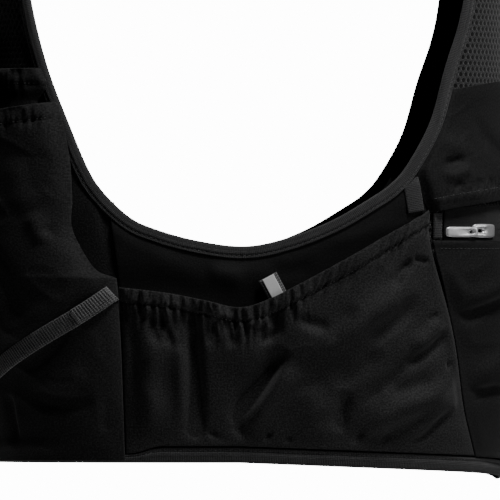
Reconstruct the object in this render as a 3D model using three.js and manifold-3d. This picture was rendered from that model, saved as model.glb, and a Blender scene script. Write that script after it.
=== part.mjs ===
import * as THREE from "three";
import Module from "manifold-3d";

// A running hydration vest in its worn shape. Sizes are in mm.
// The garment is drawn flat and wrapped round a body. On the flat pattern s runs round the chest from the middle of
// the wearer's left side, below 0 to the front and above 0 to the back, and v runs up from the hem.

const wasm = await Module();
wasm.setup();
const { Manifold } = wasm;

// The body
const BODY = { halfWidth: 150, front: 142, back: 152, square: 3 };
const WAIST = { height: 150, narrower: 0.05 };
const ARM_LINE = 250;
const SHOULDER = { length: 150, height: 365, neck: 58, arm: 118, drop: 20 };

// Cloth
const CLEAR = 0.4;
const MESH = 1.8;
const WING = 1.2;
const EDGE = 1.0;
const FABRIC = 1.0;
const TAPE = 1.0;
const HALF_SEAM = 0.15;
const SLOT = 0.6;
const NECK_SLOT = 0.8;

// Edges
const BINDING = 6.5;
const HEM_BAND = 8;
const HEM_BAND_NARROW = 4.3;
const HEM_DROP = 9.8;
const TUCK = 3;
const NAPE_TUCK = 5.4;
const OVER = EDGE + SLOT + TAPE;
const NECK = { gapAtHem: 26, gapAtChest: 36, backHeight: 310.4 };

// The armhole's finished edge: shares of its reach from the lowest point, and of its rise to the arm line
const ARMHOLE = { lowest: 2, low: 112.8, front: 123, back: 129 };
const ARMHOLE_FRONT = [
  { across: 0.207, up: 0.023 },
  { across: 0.388, up: 0.069 },
  { across: 0.488, up: 0.114 },
  { across: 0.597, up: 0.206 },
  { across: 0.665, up: 0.297 },
  { across: 0.758, up: 0.48 },
  { across: 0.847, up: 0.663 },
  { across: 0.917, up: 0.847 },
  { across: 0.958, up: 1.0 },
  { across: 0.99, up: 1.22 },
  { across: 1.0, up: 1.5 },
  { across: 1.0, up: 2.093 },
];
const ARMHOLE_BACK = [
  { across: 0.173, up: 0.031 },
  { across: 0.358, up: 0.099 },
  { across: 0.52, up: 0.187 },
  { across: 0.603, up: 0.24 },
  { across: 0.676, up: 0.317 },
  { across: 0.779, up: 0.482 },
  { across: 0.851, up: 0.685 },
  { across: 0.924, up: 0.851 },
  { across: 0.965, up: 1.0 },
  { across: 0.992, up: 1.22 },
  { across: 1.0, up: 1.5 },
  { across: 1.0, up: 2.093 },
];

// The side seams
const FRONT_SEAM = { atHem: 61.7, lean: 6.5, height: 130 };
const BACK_SEAM = { atHem: 143, height: 160 };
const BACK_SEAM_LINE = [
  { up: 0.0, across: 1.0 },
  { up: 0.11, across: 0.931 },
  { up: 0.206, across: 0.886 },
  { up: 0.417, across: 0.823 },
  { up: 0.655, across: 0.729 },
  { up: 0.75, across: 0.702 },
  { up: 0.819, across: 0.7 },
  { up: 0.869, across: 0.678 },
  { up: 1.0, across: 0.64 },
];

// The side pocket: shares of its width, and of the rise of its mouth above the mouth's lowest point
const SIDE_POCKET = { width: 163, low: 81, rise: 51, bulge: 8.6, rim: 7.5, rimCloth: 1.6, gather: 0.9, pitch: 5.6 };
const SIDE_MOUTH = [
  { across: 0.0, up: 0.206 },
  { across: 0.147, up: 0.145 },
  { across: 0.25, up: 0.073 },
  { across: 0.352, up: 0.0 },
  { across: 0.438, up: 0.075 },
  { across: 0.547, up: 0.24 },
  { across: 0.745, up: 0.565 },
  { across: 1.0, up: 1.0 },
];
// Its folds: ends as shares of its width and height, height of the fold, half its breadth
const SIDE_FOLDS = [
  { across: 0.15, up: 0.75, toAcross: 0.17, toUp: 0.1, high: 1.6, wide: 7 },
  { across: 0.3, up: 0.82, toAcross: 0.3, toUp: 0.08, high: -2.2, wide: 5 },
  { across: 0.47, up: 0.6, toAcross: 0.39, toUp: 0.1, high: -2.4, wide: 5 },
  { across: 0.42, up: 0.75, toAcross: 0.5, toUp: 0.25, high: 1.4, wide: 8 },
  { across: 0.92, up: 0.72, toAcross: 0.62, toUp: 0.55, high: 1.6, wide: 7 },
  { across: 0.98, up: 0.35, toAcross: 0.7, toUp: 0.12, high: 1.5, wide: 6 },
  { across: 0.95, up: 0.2, toAcross: 0.84, toUp: 0.03, high: -1.5, wide: 5 },
];

// The front pockets
const FRONT_POCKET = { margin: 15, low: 1, top: 188.2, slant: 0.155, meets: 97, bulge: 17.5, rise: 130 };
const FRONT_SIDE_LINE = [
  { up: 97, across: 66.4 },
  { up: 100, across: 74.1 },
  { up: 108, across: 80.3 },
  { up: 122.8, across: 87.4 },
  { up: 139, across: 87.2 },
  { up: 160.3, across: 88.8 },
  { up: 184.8, across: 94.3 },
  { up: 190, across: 97 },
];
const FLASK_POCKET = { margin: 20, low: 50, top: 206, bulge: 8.2, rise: 50, retreat: 107, shows: 188 };
const POCKET_BAND = { height: 8, cloth: 1.5 };

// The back
const FLAP = { low: 130.5, lowRise: 12, lowReach: 50, top: 195.5, topRise: 12, topReach: 70, start: 101, corner: 152 };
const BACK_POCKET = { bulge: 5, step: 1.9, reach: 35 };
const ZIP = { height: 121, rise: 3, start: 108.6, below: 7.6, above: 13, hem: 5 };
const END_TAB = { start: 102.6, width: 5.2, low: 117, high: 133 };
const SLIDER = { at: 128.8, length: 10.7, width: 7, plate: 2.2, neck: 4.6, arch: 2.4, crown: 2.2 };
const PULLER = { length: 13.5, width: 5.7, end: 4.6, thickness: 1, eye: 3 };

// Small parts
const STAY = { bottom: { s: 93, v: 130.8 }, top: { s: 90.9, v: 142.3 }, width: 8.6 };
const WEBBING = { width: 8.6, thickness: 1.2, tack: 20 };
const SIDE_STRAP = [
  { s: -65, v: 88.4 },
  { s: -84.5, v: 74.4 },
  { s: -130.8, v: 47.9 },
  { s: -170, v: 26.3 },
  { s: -203, v: 9.5 },
];
const BUCKLE = { at: 0.74, length: 9, wall: 1, side: 1.7 };
const STERNUM = { heights: { upper: 226, lower: 150 }, reach: 49 };
const CLIP = { length: 24, width: 13, thickness: 5.4 };
const KEY_LOOP = { top: { s: 14.2, v: 97 }, bottom: { s: 27, v: 73 }, width: 10.4, stripe: 6.5, ply: 1.6, stripeCloth: 0.5 };

// Grid counts
const GRID = { wing: 14, seamRows: 5, armRows: 15, backHalf: 11 };
const FRONT_COLUMNS = [0, 0.05, 0.25, 0.45, 0.62, 0.77, 0.88, 0.95, 1];

const clamp = (x) => Math.min(Math.max(x, 0), 1);
const mix = (a, b, t) => a + (b - a) * t;
const ease = (x) => clamp(x) ** 2 * (3 - 2 * clamp(x));
const hump = (x) => Math.exp(-x * x);
const arc = (x) => Math.sqrt(Math.max(4 * x * (1 - x), 0));

// The chest section by arc length, from front centre to back centre
const SECTION = (() => {
  const count = 3000;
  const radius = (t) => {
    const depth = Math.sin(t) < 0 ? BODY.front : BODY.back;
    const sum = Math.abs(Math.cos(t) / BODY.halfWidth) ** BODY.square + Math.abs(Math.sin(t) / depth) ** BODY.square;
    return sum ** (-1 / BODY.square);
  };
  const rows = [];
  for (let i = 0; i <= count; i++) {
    const t = mix(-Math.PI / 2, Math.PI / 2, i / count);
    const x = Math.max(radius(t) * Math.cos(t), 0);
    const y = radius(t) * Math.sin(t);
    const last = rows[i - 1];
    rows.push({ x, y, s: last ? last.s + Math.hypot(x - last.x, y - last.y) : 0 });
  }
  const side = rows[count / 2].s;
  rows.forEach((r) => (r.s -= side));
  return rows;
})();
const FRONT = -SECTION[0].s;
const BACK = SECTION[SECTION.length - 1].s;

function around(s) {
  let low = 0;
  let high = SECTION.length - 1;
  while (high - low > 1) {
    const middle = (low + high) >> 1;
    if (SECTION[middle].s > s) high = middle;
    else low = middle;
  }
  const a = SECTION[low];
  const b = SECTION[high];
  const t = clamp((s - a.s) / (b.s - a.s));
  const step = 6;
  const p = SECTION[Math.max(low - step, 0)];
  const q = SECTION[Math.min(high + step, SECTION.length - 1)];
  const run = Math.hypot(q.x - p.x, q.y - p.y);
  return { x: mix(a.x, b.x, t), y: mix(a.y, b.y, t), nx: (q.y - p.y) / run, ny: -(q.x - p.x) / run };
}

// A smooth line through points of the pattern, by arc length from 0 to 1
function line(points) {
  const at = (i) => points[Math.min(Math.max(i, 0), points.length - 1)];
  const fine = [];
  for (let i = 0; i < points.length - 1; i++) {
    for (let k = 0; k < 12; k++) {
      const t = k / 12;
      const [a, b, c, d] = [at(i - 1), at(i), at(i + 1), at(i + 2)];
      fine.push(
        [0, 1].map((n) => {
          const bend = 2 * a[n] - 5 * b[n] + 4 * c[n] - d[n] + (3 * (b[n] - c[n]) + d[n] - a[n]) * t;
          return b[n] + 0.5 * t * (c[n] - a[n] + t * bend);
        }),
      );
    }
  }
  fine.push(at(points.length - 1));
  const run = [0];
  for (let i = 1; i < fine.length; i++) {
    run.push(run[i - 1] + Math.hypot(fine[i][0] - fine[i - 1][0], fine[i][1] - fine[i - 1][1]));
  }
  const total = run[run.length - 1];
  return (t) => {
    const goal = clamp(t) * total;
    let i = 1;
    while (i < run.length - 1 && run[i] < goal) i++;
    const part = (goal - run[i - 1]) / (run[i] - run[i - 1]);
    return [mix(fine[i - 1][0], fine[i][0], part), mix(fine[i - 1][1], fine[i][1], part)];
  };
}

// A smooth value read from a table, by the table's first column
function table(rows) {
  const path = line(rows);
  return (x) => {
    let low = 0;
    let high = 1;
    for (let i = 0; i < 30; i++) {
      const middle = (low + high) / 2;
      if (path(middle)[0] < x) low = middle;
      else high = middle;
    }
    return path((low + high) / 2)[1];
  };
}

const armRise = ARM_LINE - ARMHOLE.low;
const armPoints = [
  ...ARMHOLE_BACK.map((p) => [ARMHOLE.lowest + p.across * ARMHOLE.back, ARMHOLE.low + p.up * armRise]).reverse(),
  [ARMHOLE.lowest, ARMHOLE.low],
  ...ARMHOLE_FRONT.map((p) => [ARMHOLE.lowest - p.across * ARMHOLE.front, ARMHOLE.low + p.up * armRise]),
];
const apex = ARM_LINE + SHOULDER.length;
armPoints[0][1] = apex;
armPoints[armPoints.length - 1][1] = apex;
const armhole = line(armPoints);

const armFront = ARMHOLE.lowest - ARMHOLE.front;
const armBack = ARMHOLE.lowest + ARMHOLE.back;
const xArmFront = around(armFront).x;
const xArmBack = around(armBack).x;
const neckEdge = (v) => -FRONT + mix(NECK.gapAtHem, NECK.gapAtChest, clamp(v / ARM_LINE));
const xNeckFront = around(neckEdge(ARM_LINE)).x;
const neckBack = (() => {
  const goal = (SHOULDER.neck / SHOULDER.arm) * xArmBack;
  return SECTION.find((r) => r.s > armBack && r.x < goal).s;
})();

// Wraps a point of the pattern round the body, and lifts it off by the given distance
function onBody(s, v, off) {
  if (s > BACK || s < -FRONT) {
    const p = onBody(s > BACK ? 2 * BACK - s : -2 * FRONT - s, v, off);
    p.x *= -1;
    return p;
  }
  const c = around(s);
  if (v <= ARM_LINE) {
    const k = 1 - WAIST.narrower * (1 - Math.min(v / WAIST.height, 1)) ** 2;
    return new THREE.Vector3(k * c.x + off * c.nx, k * c.y + off * c.ny, v);
  }
  const turn = (((v - ARM_LINE) / SHOULDER.length) * Math.PI) / 2;
  const across = (c.x - xNeckFront) / (xArmFront - xNeckFront);
  const top = s < 0 ? mix(SHOULDER.neck, SHOULDER.arm, across) : (c.x * SHOULDER.arm) / xArmBack;
  const past = Math.max(top - SHOULDER.neck, 0) / (SHOULDER.arm - SHOULDER.neck);
  const rise = SHOULDER.height - SHOULDER.drop * past ** 2 - ARM_LINE;
  const slope = (2 * SHOULDER.drop * past) / (SHOULDER.arm - SHOULDER.neck);
  const over = Math.abs(c.y) * Math.sin(turn);
  const out = rise * Math.cos(turn);
  const up = over / Math.hypot(slope, 1);
  const n = new THREE.Vector3(out * c.nx + up * slope, out * c.ny, up).normalize();
  const x = mix(c.x, top, 1 - Math.cos(turn));
  return new THREE.Vector3(x, c.y * Math.cos(turn), ARM_LINE + rise * Math.sin(turn)).addScaledVector(n, off);
}

const midStrap = onBody(mix(neckEdge(ARM_LINE), armFront, 0.5), apex, 0);
const carryHeight = midStrap.z;

const hem = (s) => -HEM_DROP * clamp((s > BACK ? 2 * BACK - s : s) / BACK);

// A closed mesh from rings of points; cap is the list of four-cornered faces that closes an end
function loft(rings, cap) {
  const count = rings[0].length;
  const points = rings.flat();
  const faces = [];
  const quad = (a, b, c, d) => faces.push(a, b, c, a, c, d);
  const last = cap ? rings.length - 1 : rings.length;
  for (let i = 0; i < last; i++) {
    const next = ((i + 1) % rings.length) * count;
    for (let j = 0; j < count; j++) {
      const k = (j + 1) % count;
      quad(i * count + j, i * count + k, next + k, next + j);
    }
  }
  if (cap) {
    const end = (rings.length - 1) * count;
    cap.forEach(([a, b, c, d]) => {
      quad(d, c, b, a);
      quad(end + a, end + b, end + c, end + d);
    });
  }
  return closed(points, faces);
}

function closed(points, faces) {
  let volume = 0;
  for (let i = 0; i < faces.length; i += 3) {
    const [a, b, c] = [0, 1, 2].map((k) => points[faces[i + k]]);
    volume += a.dot(b.clone().cross(c));
  }
  if (volume < 0) {
    for (let i = 0; i < faces.length; i += 3) [faces[i], faces[i + 1]] = [faces[i + 1], faces[i]];
  }
  const geometry = new THREE.BufferGeometry().setFromPoints(points);
  geometry.setIndex(faces);
  return geometry;
}

// A panel with thickness: shape(a, b) gives its place on the pattern and the heights of its two faces
function panel(columns, rows, shape) {
  const as = Array.isArray(columns) ? columns : Array.from({ length: columns + 1 }, (_, i) => i / columns);
  const bs = Array.isArray(rows) ? rows : Array.from({ length: rows + 1 }, (_, i) => i / rows);
  const [nu, nv] = [as.length, bs.length];
  const inner = [];
  const outer = [];
  for (const b of bs) {
    for (const a of as) {
      const [s, v, low, high] = shape(a, b);
      inner.push(onBody(s, v, low));
      outer.push(onBody(s, v, high));
    }
  }
  const faces = [];
  const shift = nu * nv;
  const quad = (a, b, c, d) => faces.push(a, b, c, a, c, d);
  for (let j = 0; j < nv - 1; j++) {
    for (let i = 0; i < nu - 1; i++) {
      const p = j * nu + i;
      quad(shift + p, shift + p + 1, shift + p + 1 + nu, shift + p + nu);
      quad(p, p + nu, p + nu + 1, p + 1);
    }
  }
  const rim = [];
  for (let i = 0; i < nu - 1; i++) rim.push(i);
  for (let j = 0; j < nv - 1; j++) rim.push(j * nu + nu - 1);
  for (let i = nu - 1; i > 0; i--) rim.push((nv - 1) * nu + i);
  for (let j = nv - 1; j > 0; j--) rim.push(j * nu);
  rim.forEach((p, i) => {
    const q = rim[(i + 1) % rim.length];
    quad(p, q, shift + q, shift + p);
  });
  return closed([...inner, ...outer], faces);
}

// A band of webbing along a line of the pattern
function band(path, width, count, heights) {
  return panel(count, 1, (a, b) => {
    const [s0, v0] = path(Math.max(a - 0.01, 0));
    const [s1, v1] = path(Math.min(a + 0.01, 1));
    const [s, v] = path(a);
    const run = Math.hypot(s1 - s0, v1 - v0);
    const side = (b - 0.5) * width;
    const [ps, pv] = [s - (side * (v1 - v0)) / run, v + (side * (s1 - s0)) / run];
    return [ps, pv, ...heights(ps, pv, a)];
  });
}

// A step of so many mm into the cloth from a place on an edge
function into(edge, distance) {
  const { s, v, ds, dv } = edge;
  const e = 0.5;
  const scale = onBody(s + e * ds, v + e * dv, 0).distanceTo(onBody(s, v, 0)) / e;
  return [s + (distance / scale) * ds, v + (distance / scale) * dv];
}

function edgeOf(path, t) {
  const [s0, v0] = path(Math.max(t - 0.004, 0));
  const [s1, v1] = path(Math.min(t + 0.004, 1));
  const [s, v] = path(t);
  const run = Math.hypot(s1 - s0, v1 - v0);
  return { s, v, ds: (v0 - v1) / run, dv: (s1 - s0) / run };
}

// Tape folded round an edge
function binding(edges, ends, slot = SLOT) {
  const rings = edges.map((edge) => {
    const w = edge.width ?? BINDING;
    const [under, over] = [-slot - TAPE, EDGE + slot + TAPE];
    const corners = [
      [0, under],
      [0, over],
      [w, over],
      [w, over - TAPE],
      [TAPE, over - TAPE],
      [TAPE, under + TAPE],
      [w, under + TAPE],
      [w, under],
    ];
    return corners.map(([u, n]) => onBody(...into(edge, u), n));
  });
  const cap = [
    [0, 1, 4, 5],
    [1, 2, 3, 4],
    [0, 5, 6, 7],
  ];
  return loft(rings, ends ? cap : null);
}

function mirrored(geometry) {
  const copy = geometry.clone().scale(-1, 1, 1);
  const index = Array.from(copy.index.array);
  for (let i = 0; i < index.length; i += 3) [index[i], index[i + 1]] = [index[i + 1], index[i]];
  copy.setIndex(index);
  return copy;
}

// Seams
const frontSeam = (v) => -(FRONT_SEAM.atHem + FRONT_SEAM.lean * (Math.max(v, 0) / FRONT_SEAM.height) ** 4);
const backSeamShare = table(BACK_SEAM_LINE.map((p) => [p.up, p.across]));
const backSeam = (v) => BACK_SEAM.atHem * backSeamShare(v / BACK_SEAM.height);

// Where each seam meets the armhole, as a share of the armhole's length
function meeting(seam, low, high) {
  for (let i = 0; i < 40; i++) {
    const middle = (low + high) / 2;
    const [s, v] = into(edgeOf(armhole, middle), TUCK);
    if (s > seam(v)) low = middle;
    else high = middle;
  }
  return (low + high) / 2;
}
const meetBack = meeting(backSeam, 0.2, 0.5);
const meetFront = meeting(frontSeam, 0.45, 0.8);
const armInner = (t, distance = TUCK) => into(edgeOf(armhole, t), distance);

// Wing under the arm
const [frontTopS, frontTopV] = armInner(meetFront);
const [backTopS, backTopV] = armInner(meetBack);
const hemInner = (s) => hem(s) + TUCK;

const wing = panel(GRID.wing, GRID.seamRows, (a, b) => {
  const t = mix(meetFront, meetBack, a);
  const [ts, tv] = armInner(t);
  const lv = mix(hemInner(-60), frontTopV, b);
  const rv = mix(hemInner(143), backTopV, b);
  const [l, r] = [frontSeam(lv), backSeam(rv)];
  const [l0, r0] = [frontSeam(hemInner(-60)), backSeam(hemInner(143))];
  const bs = mix(l0, r0, a);
  const s = mix(bs, ts, b) + mix(l, r, a) - mix(mix(l0, r0, a), mix(frontTopS, backTopS, a), b);
  const bv = hemInner(bs);
  const corner = mix(mix(hemInner(-60), hemInner(143), a), mix(frontTopV, backTopV, a), b);
  const v = mix(bv, tv, b) + mix(lv, rv, a) - corner;
  return [s + mix(HALF_SEAM, -HALF_SEAM, a), v, 0, WING];
});

// Fronts: rows at one height, from the front edge to the seam and then to the armhole
const seamShare = 0.36;
const shoulderLine = apex - HALF_SEAM;
function frontRow(b) {
  if (b <= seamShare) {
    const v = mix(hemInner(-100), frontTopV, b / seamShare);
    return [frontSeam(v) - HALF_SEAM, v];
  }
  const [s, v] = armInner(mix(meetFront, 1, (b - seamShare) / (1 - seamShare)));
  return [s, Math.min(v, shoulderLine)];
}
const shares = (low, high, count) => Array.from({ length: count }, (_, i) => mix(low, high, (i + 1) / count));
const frontRows = [0, ...shares(0, seamShare, GRID.seamRows), ...shares(seamShare, 1, GRID.armRows)];
const neckInner = (v) => into({ s: neckEdge(v), v, ds: 1, dv: 0 }, TUCK)[0];
const frontMesh = panel(FRONT_COLUMNS, frontRows, (a, b) => {
  const [s, v] = frontRow(b);
  const rim = a < 0.06 || a > 0.94 || b === 0;
  return [mix(neckInner(v), s, a), v, 0, rim ? EDGE : MESH];
});

// Back: from seam and armhole to the middle, up to the shoulder line and the neckline
const shoulderShare = 0.36;
const napeDrop = apex - NECK.backHeight;
function napeEdge(a) {
  const turn = (a * Math.PI) / 2;
  const s = BACK - (BACK - neckBack) * Math.cos(turn);
  const v = apex - napeDrop * Math.sin(turn);
  const [ts, tv] = [(BACK - neckBack) * Math.sin(turn), -napeDrop * Math.cos(turn)];
  const run = Math.hypot(ts, tv);
  return { s, v, ds: tv / run, dv: -ts / run };
}
const armTop = into(edgeOf(armhole, 0), TUCK)[0];
const napeTop = into(napeEdge(0), NAPE_TUCK)[0];
function backTop(a) {
  if (a <= shoulderShare) return [mix(armTop, napeTop, a / shoulderShare), shoulderLine];
  return into(napeEdge((a - shoulderShare) / (1 - shoulderShare)), NAPE_TUCK);
}
const napeMiddle = into(napeEdge(1), NAPE_TUCK)[1];
const backSeamShareOfRows = 0.4;
function backLeft(b) {
  if (b <= backSeamShareOfRows) {
    const v = mix(hemInner(143), backTopV, b / backSeamShareOfRows);
    return [backSeam(v) + HALF_SEAM, v];
  }
  const t = mix(meetBack, 0, (b - backSeamShareOfRows) / (1 - backSeamShareOfRows));
  const [s, v] = armInner(t);
  return [s, Math.min(v, shoulderLine)];
}
function backHalf(a, b) {
  const w = b ** 3;
  const [ls, lv] = backLeft(b);
  const [l0s, l0v] = backLeft(0);
  const [l1s, l1v] = backLeft(1);
  const [ts, tv] = backTop(a);
  const r0v = hemInner(BACK);
  const rv = mix(r0v, napeMiddle, (lv - l0v) / (shoulderLine - l0v));
  const bs = mix(l0s, BACK, a);
  const s = mix(bs, ts, w) + mix(ls, BACK, a) - mix(mix(l0s, BACK, a), mix(l1s, BACK, a), w);
  const corner = mix(mix(l0v, r0v, a), mix(l1v, napeMiddle, a), w);
  const v = mix(hemInner(bs), tv, w) + mix(lv, rv, a) - corner;
  return [s, v];
}
const napePoints = Array.from({ length: 41 }, (_, i) => napeEdge(i / 40)).map((e) => onBody(e.s, e.v, 0));
const nearNape = (s, v) => napePoints.some((p) => p.distanceTo(onBody(s, v, 0)) < 2 * BINDING);
// Both halves of a piece that crosses the back: the half that is drawn runs from a = 0 to its middle at a = 1
const acrossBack = (half) => (a, b) => {
  const [s, v, ...rest] = half(a < 0.5 ? 2 * a : 2 - 2 * a, b);
  return [a <= 0.5 ? s : 2 * BACK - s, v, ...rest];
};
const backHalfColumns = [0, 0.06, 0.15, 0.25, shoulderShare, ...shares(shoulderShare, 1, GRID.backHalf - 3)];
const backColumns = [...backHalfColumns.map((x) => x / 2), ...backHalfColumns.slice(0, -1).map((x) => 1 - x / 2).reverse()];
const backArmRows = [...shares(backSeamShareOfRows, 1, GRID.armRows).slice(0, -1), 0.985, 1];
const backRows = [0, ...shares(0, backSeamShareOfRows, GRID.seamRows), ...backArmRows];
const backMesh = panel(
  backColumns,
  backRows,
  acrossBack((a, b) => {
    const [s, v] = backHalf(a, b);
    const rim = a < 0.07 || b === 0 || b > 0.98 || nearNape(s, v);
    return [s, v, 0, rim ? EDGE : MESH];
  }),
);

// Bindings, with their stations where the cloth's grids meet the edge
const armStations = [
  0,
  ...backArmRows.slice(0, -1).map((b) => mix(meetBack, 0, (b - backSeamShareOfRows) / (1 - backSeamShareOfRows))).reverse(),
  ...Array.from({ length: GRID.wing + 1 }, (_, i) => mix(meetBack, meetFront, i / GRID.wing)),
  ...shares(meetFront, 1, GRID.armRows).slice(0, -1),
];
const armBinding = binding(
  armStations.map((t) => edgeOf(armhole, t)),
  false,
);

const hemWidth = (s) => mix(HEM_BAND, HEM_BAND_NARROW, ease((-42 - s) / 18));
const hemStart = into({ s: neckEdge(HEM_BAND), v: HEM_BAND, ds: 1, dv: 0 }, BINDING + CLEAR)[0];
const hemStops = [
  hemStart,
  ...FRONT_COLUMNS.slice(2, -1).map((a) => mix(neckInner(0), frontSeam(0), a)),
  ...Array.from({ length: GRID.wing + 1 }, (_, i) => mix(frontSeam(0), backSeam(0), i / GRID.wing)),
  ...backHalfColumns.slice(1).map((a) => mix(backSeam(0), BACK, a)),
];
const hemEdges = hemStops.map((s) => ({ s, v: hem(s), ds: 0, dv: 1, width: hemWidth(s) }));
const hemBinding = binding(
  [...hemEdges, ...hemEdges.slice(0, -1).map((e) => ({ ...e, s: 2 * BACK - e.s })).reverse()],
  true,
);

const neckEdges = [
  ...frontRows.map((b) => {
    const v = b === 0 ? 0 : frontRow(b)[1];
    return { s: neckEdge(v), v, ds: 1, dv: 0 };
  }),
  ...backHalfColumns.filter((a) => a > shoulderShare).map((a) => napeEdge((a - shoulderShare) / (1 - shoulderShare))),
];
const neckBinding = binding(
  [
    ...neckEdges,
    ...neckEdges
      .slice(0, -1)
      .map((e) => ({ ...e, s: e.s > 0 ? 2 * BACK - e.s : -2 * FRONT - e.s, ds: -e.ds }))
      .reverse(),
  ],
  true,
  NECK_SLOT,
);

// Side pocket
const mouthShare = table(SIDE_MOUTH.map((p) => [p.across, p.up]));
const sideMouth = (share) => SIDE_POCKET.low + SIDE_POCKET.rise * mouthShare(share);
function sidePocketPlace(a, b) {
  const topV = sideMouth(a);
  const bottomS = mix(frontSeam(10), backSeam(10), a);
  const bottomV = hem(bottomS) + hemWidth(bottomS) + 2 * CLEAR;
  const v = mix(bottomV, topV, b);
  const s = mix(frontSeam(v), backSeam(v), a) + mix(CLEAR, -CLEAR, a);
  return [s, v];
}
function sideFold(a, b) {
  const height = 90;
  let sum = 0;
  for (const f of SIDE_FOLDS) {
    const [dx, dy] = [(f.toAcross - f.across) * SIDE_POCKET.width, (f.toUp - f.up) * height];
    const [px, py] = [(a - f.across) * SIDE_POCKET.width, (b - f.up) * height];
    const run = Math.hypot(dx, dy);
    const along = (px * dx + py * dy) / run;
    const beside = (px * dy - py * dx) / run;
    const past = Math.max(-along, along - run, 0);
    sum += f.high * hump(beside / f.wide) * hump(past / 9);
  }
  return sum;
}
function sidePocketLow(a, b) {
  const body = SIDE_POCKET.bulge * arc(a) * ease(0.15 + 0.85 * b) ** 0.7;
  const gathers = Math.cos((2 * Math.PI * a * SIDE_POCKET.width) / SIDE_POCKET.pitch);
  const gathered = SIDE_POCKET.gather * gathers * ease((0.5 - a) / 0.15) * ease((b - 0.62) / 0.3) * arc(a * 2);
  const edges = ease(a / 0.06) * ease((1 - a) / 0.06) * ease(b / 0.12);
  return WING + CLEAR + Math.max(body + (sideFold(a, b) * edges + gathered) * clamp(body / 2.5), 0);
}
const gatherColumns = (() => {
  const half = SIDE_POCKET.pitch / SIDE_POCKET.width / 2;
  const list = [];
  for (let a = 0; a < 0.46; a += half) list.push(a);
  return [...list, ...shares(list[list.length - 1], 1, 13)];
})();
const sidePocket = panel(gatherColumns, [0, 0.14, 0.34, 0.54, 0.72, 0.86, 1], (a, b) => {
  const [s, v] = sidePocketPlace(a, b);
  const low = sidePocketLow(a, b);
  return [s, v, low, low + mix(FABRIC, SIDE_POCKET.rimCloth, ease((b - 0.78) / 0.1))];
});

// Front pockets
const frontSide = table(FRONT_SIDE_LINE.map((p) => [p.up, p.across]));
const frontPocketRight = (v) => (v < FRONT_POCKET.meets ? frontSeam(v) - CLEAR : -frontSide(v));
const frontPocketLeft = (v) => neckEdge(v) + FRONT_POCKET.margin;
const flaskRight = (v) => {
  const past = v - FLASK_POCKET.shows;
  const reach = -frontSide(Math.min(v, FLASK_POCKET.shows)) - 0.55 * Math.max(past, 0);
  return mix(-FLASK_POCKET.retreat, reach, ease(past / 12));
};
const flaskLeft = (v) => neckEdge(v) + FLASK_POCKET.margin;
function flaskLow(s, v) {
  const a = clamp((s - flaskLeft(v)) / (flaskRight(v) - flaskLeft(v)));
  const rise = ease((v - FLASK_POCKET.low) / FLASK_POCKET.rise);
  return mix(MESH + CLEAR, OVER + CLEAR, ease(a * 3 - 2)) + FLASK_POCKET.bulge * arc(a) * rise;
}
const flaskPocket = panel(11, [0, 0.2, 0.4, 0.6, 0.75, 0.87, 0.93, 1], (a, b) => {
  const v = mix(FLASK_POCKET.low, FLASK_POCKET.top, b);
  const s = mix(flaskLeft(v), flaskRight(v), a);
  const low = flaskLow(s, v);
  return [s, v, low, low + (b > 0.9 ? POCKET_BAND.cloth : FABRIC)];
});
function frontPocketLow(s, v) {
  const [left, right] = [frontPocketLeft(v), frontPocketRight(v)];
  const a = clamp((s - left) / (right - left));
  const base = mix(MESH + CLEAR, OVER + CLEAR, Math.max(ease(a * 4 - 3), ease((14 - v) / 6)));
  const own = base + FRONT_POCKET.bulge * arc(a) ** 0.9 * ease((v + 12) / FRONT_POCKET.rise);
  const within = v > FLASK_POCKET.low - 12 && s < flaskRight(v) + 12;
  return within ? Math.max(own, flaskLow(s, v) + POCKET_BAND.cloth + 2 * CLEAR) : own;
}
const frontPocketHigh = (s, v) => frontPocketLow(s, v) + FABRIC;
const frontPocket = panel(12, [0, 0.05, 0.14, 0.26, 0.38, 0.5, 0.54, 0.6, 0.7, 0.84, 0.95, 1], (a, b) => {
  const row = mix(FRONT_POCKET.low, FRONT_POCKET.top, b);
  const right = frontPocketRight(row);
  const s = mix(frontPocketLeft(row), right, a);
  const v = row + FRONT_POCKET.slant * (s - right) * b ** 2;
  const low = frontPocketLow(s, v);
  return [s, v, low, low + (b > 0.94 ? POCKET_BAND.cloth : FABRIC)];
});

// Back pocket, zip and flap
const mid = (s) => (s > BACK ? 2 * BACK - s : s);
const zipLine = (s) => ZIP.height + ZIP.rise * ease((mid(s) - 105) / 150);
function backLow(s, v) {
  const full = ease((mid(s) - backSeam(Math.min(v, 150))) / BACK_POCKET.reach) * ease((v + 15) / 60);
  return MESH + CLEAR + BACK_POCKET.step * ease((v - 78) / 20) + BACK_POCKET.bulge * full;
}
const zipHigh = (s, v) => backLow(s, v) - 2 * CLEAR;
const backPocket = panel(
  24,
  [0, 0.2, 0.4, 0.6, 0.78, 0.9, 1],
  acrossBack((a, b) => {
    const bottomS = backSeam(10);
    const s0 = mix(bottomS, BACK, a);
    const low = hem(s0) + HEM_BAND + CLEAR;
    const high = zipLine(mix(END_TAB.start, BACK, a)) - ZIP.hem;
    const v = mix(low, high, b);
    const s = mix(backSeam(v) + CLEAR, BACK, a);
    const off = backLow(s, v);
    return [s, v, off, off + FABRIC];
  }),
);
const zipTape = panel(
  24,
  2,
  acrossBack((a, b) => {
    const s = mix(ZIP.start, BACK, a);
    const v = zipLine(s) + mix(-ZIP.below, ZIP.above, b);
    const off = zipHigh(s, v);
    return [s, v, off - TAPE, off];
  }),
);
const flapBottom = (s) => FLAP.low + FLAP.lowRise * (1 - Math.exp(-(s - FLAP.start) / FLAP.lowReach));
const flapTop = (s) => FLAP.top + FLAP.topRise * (1 - Math.exp(-(s - 117) / FLAP.topReach));
const armUp = (() => {
  const rows = shares(meetBack, 0.12, 30).map((t) => armInner(t, BINDING + CLEAR));
  return table(rows.map(([s, v]) => [v, s]));
})();
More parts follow.
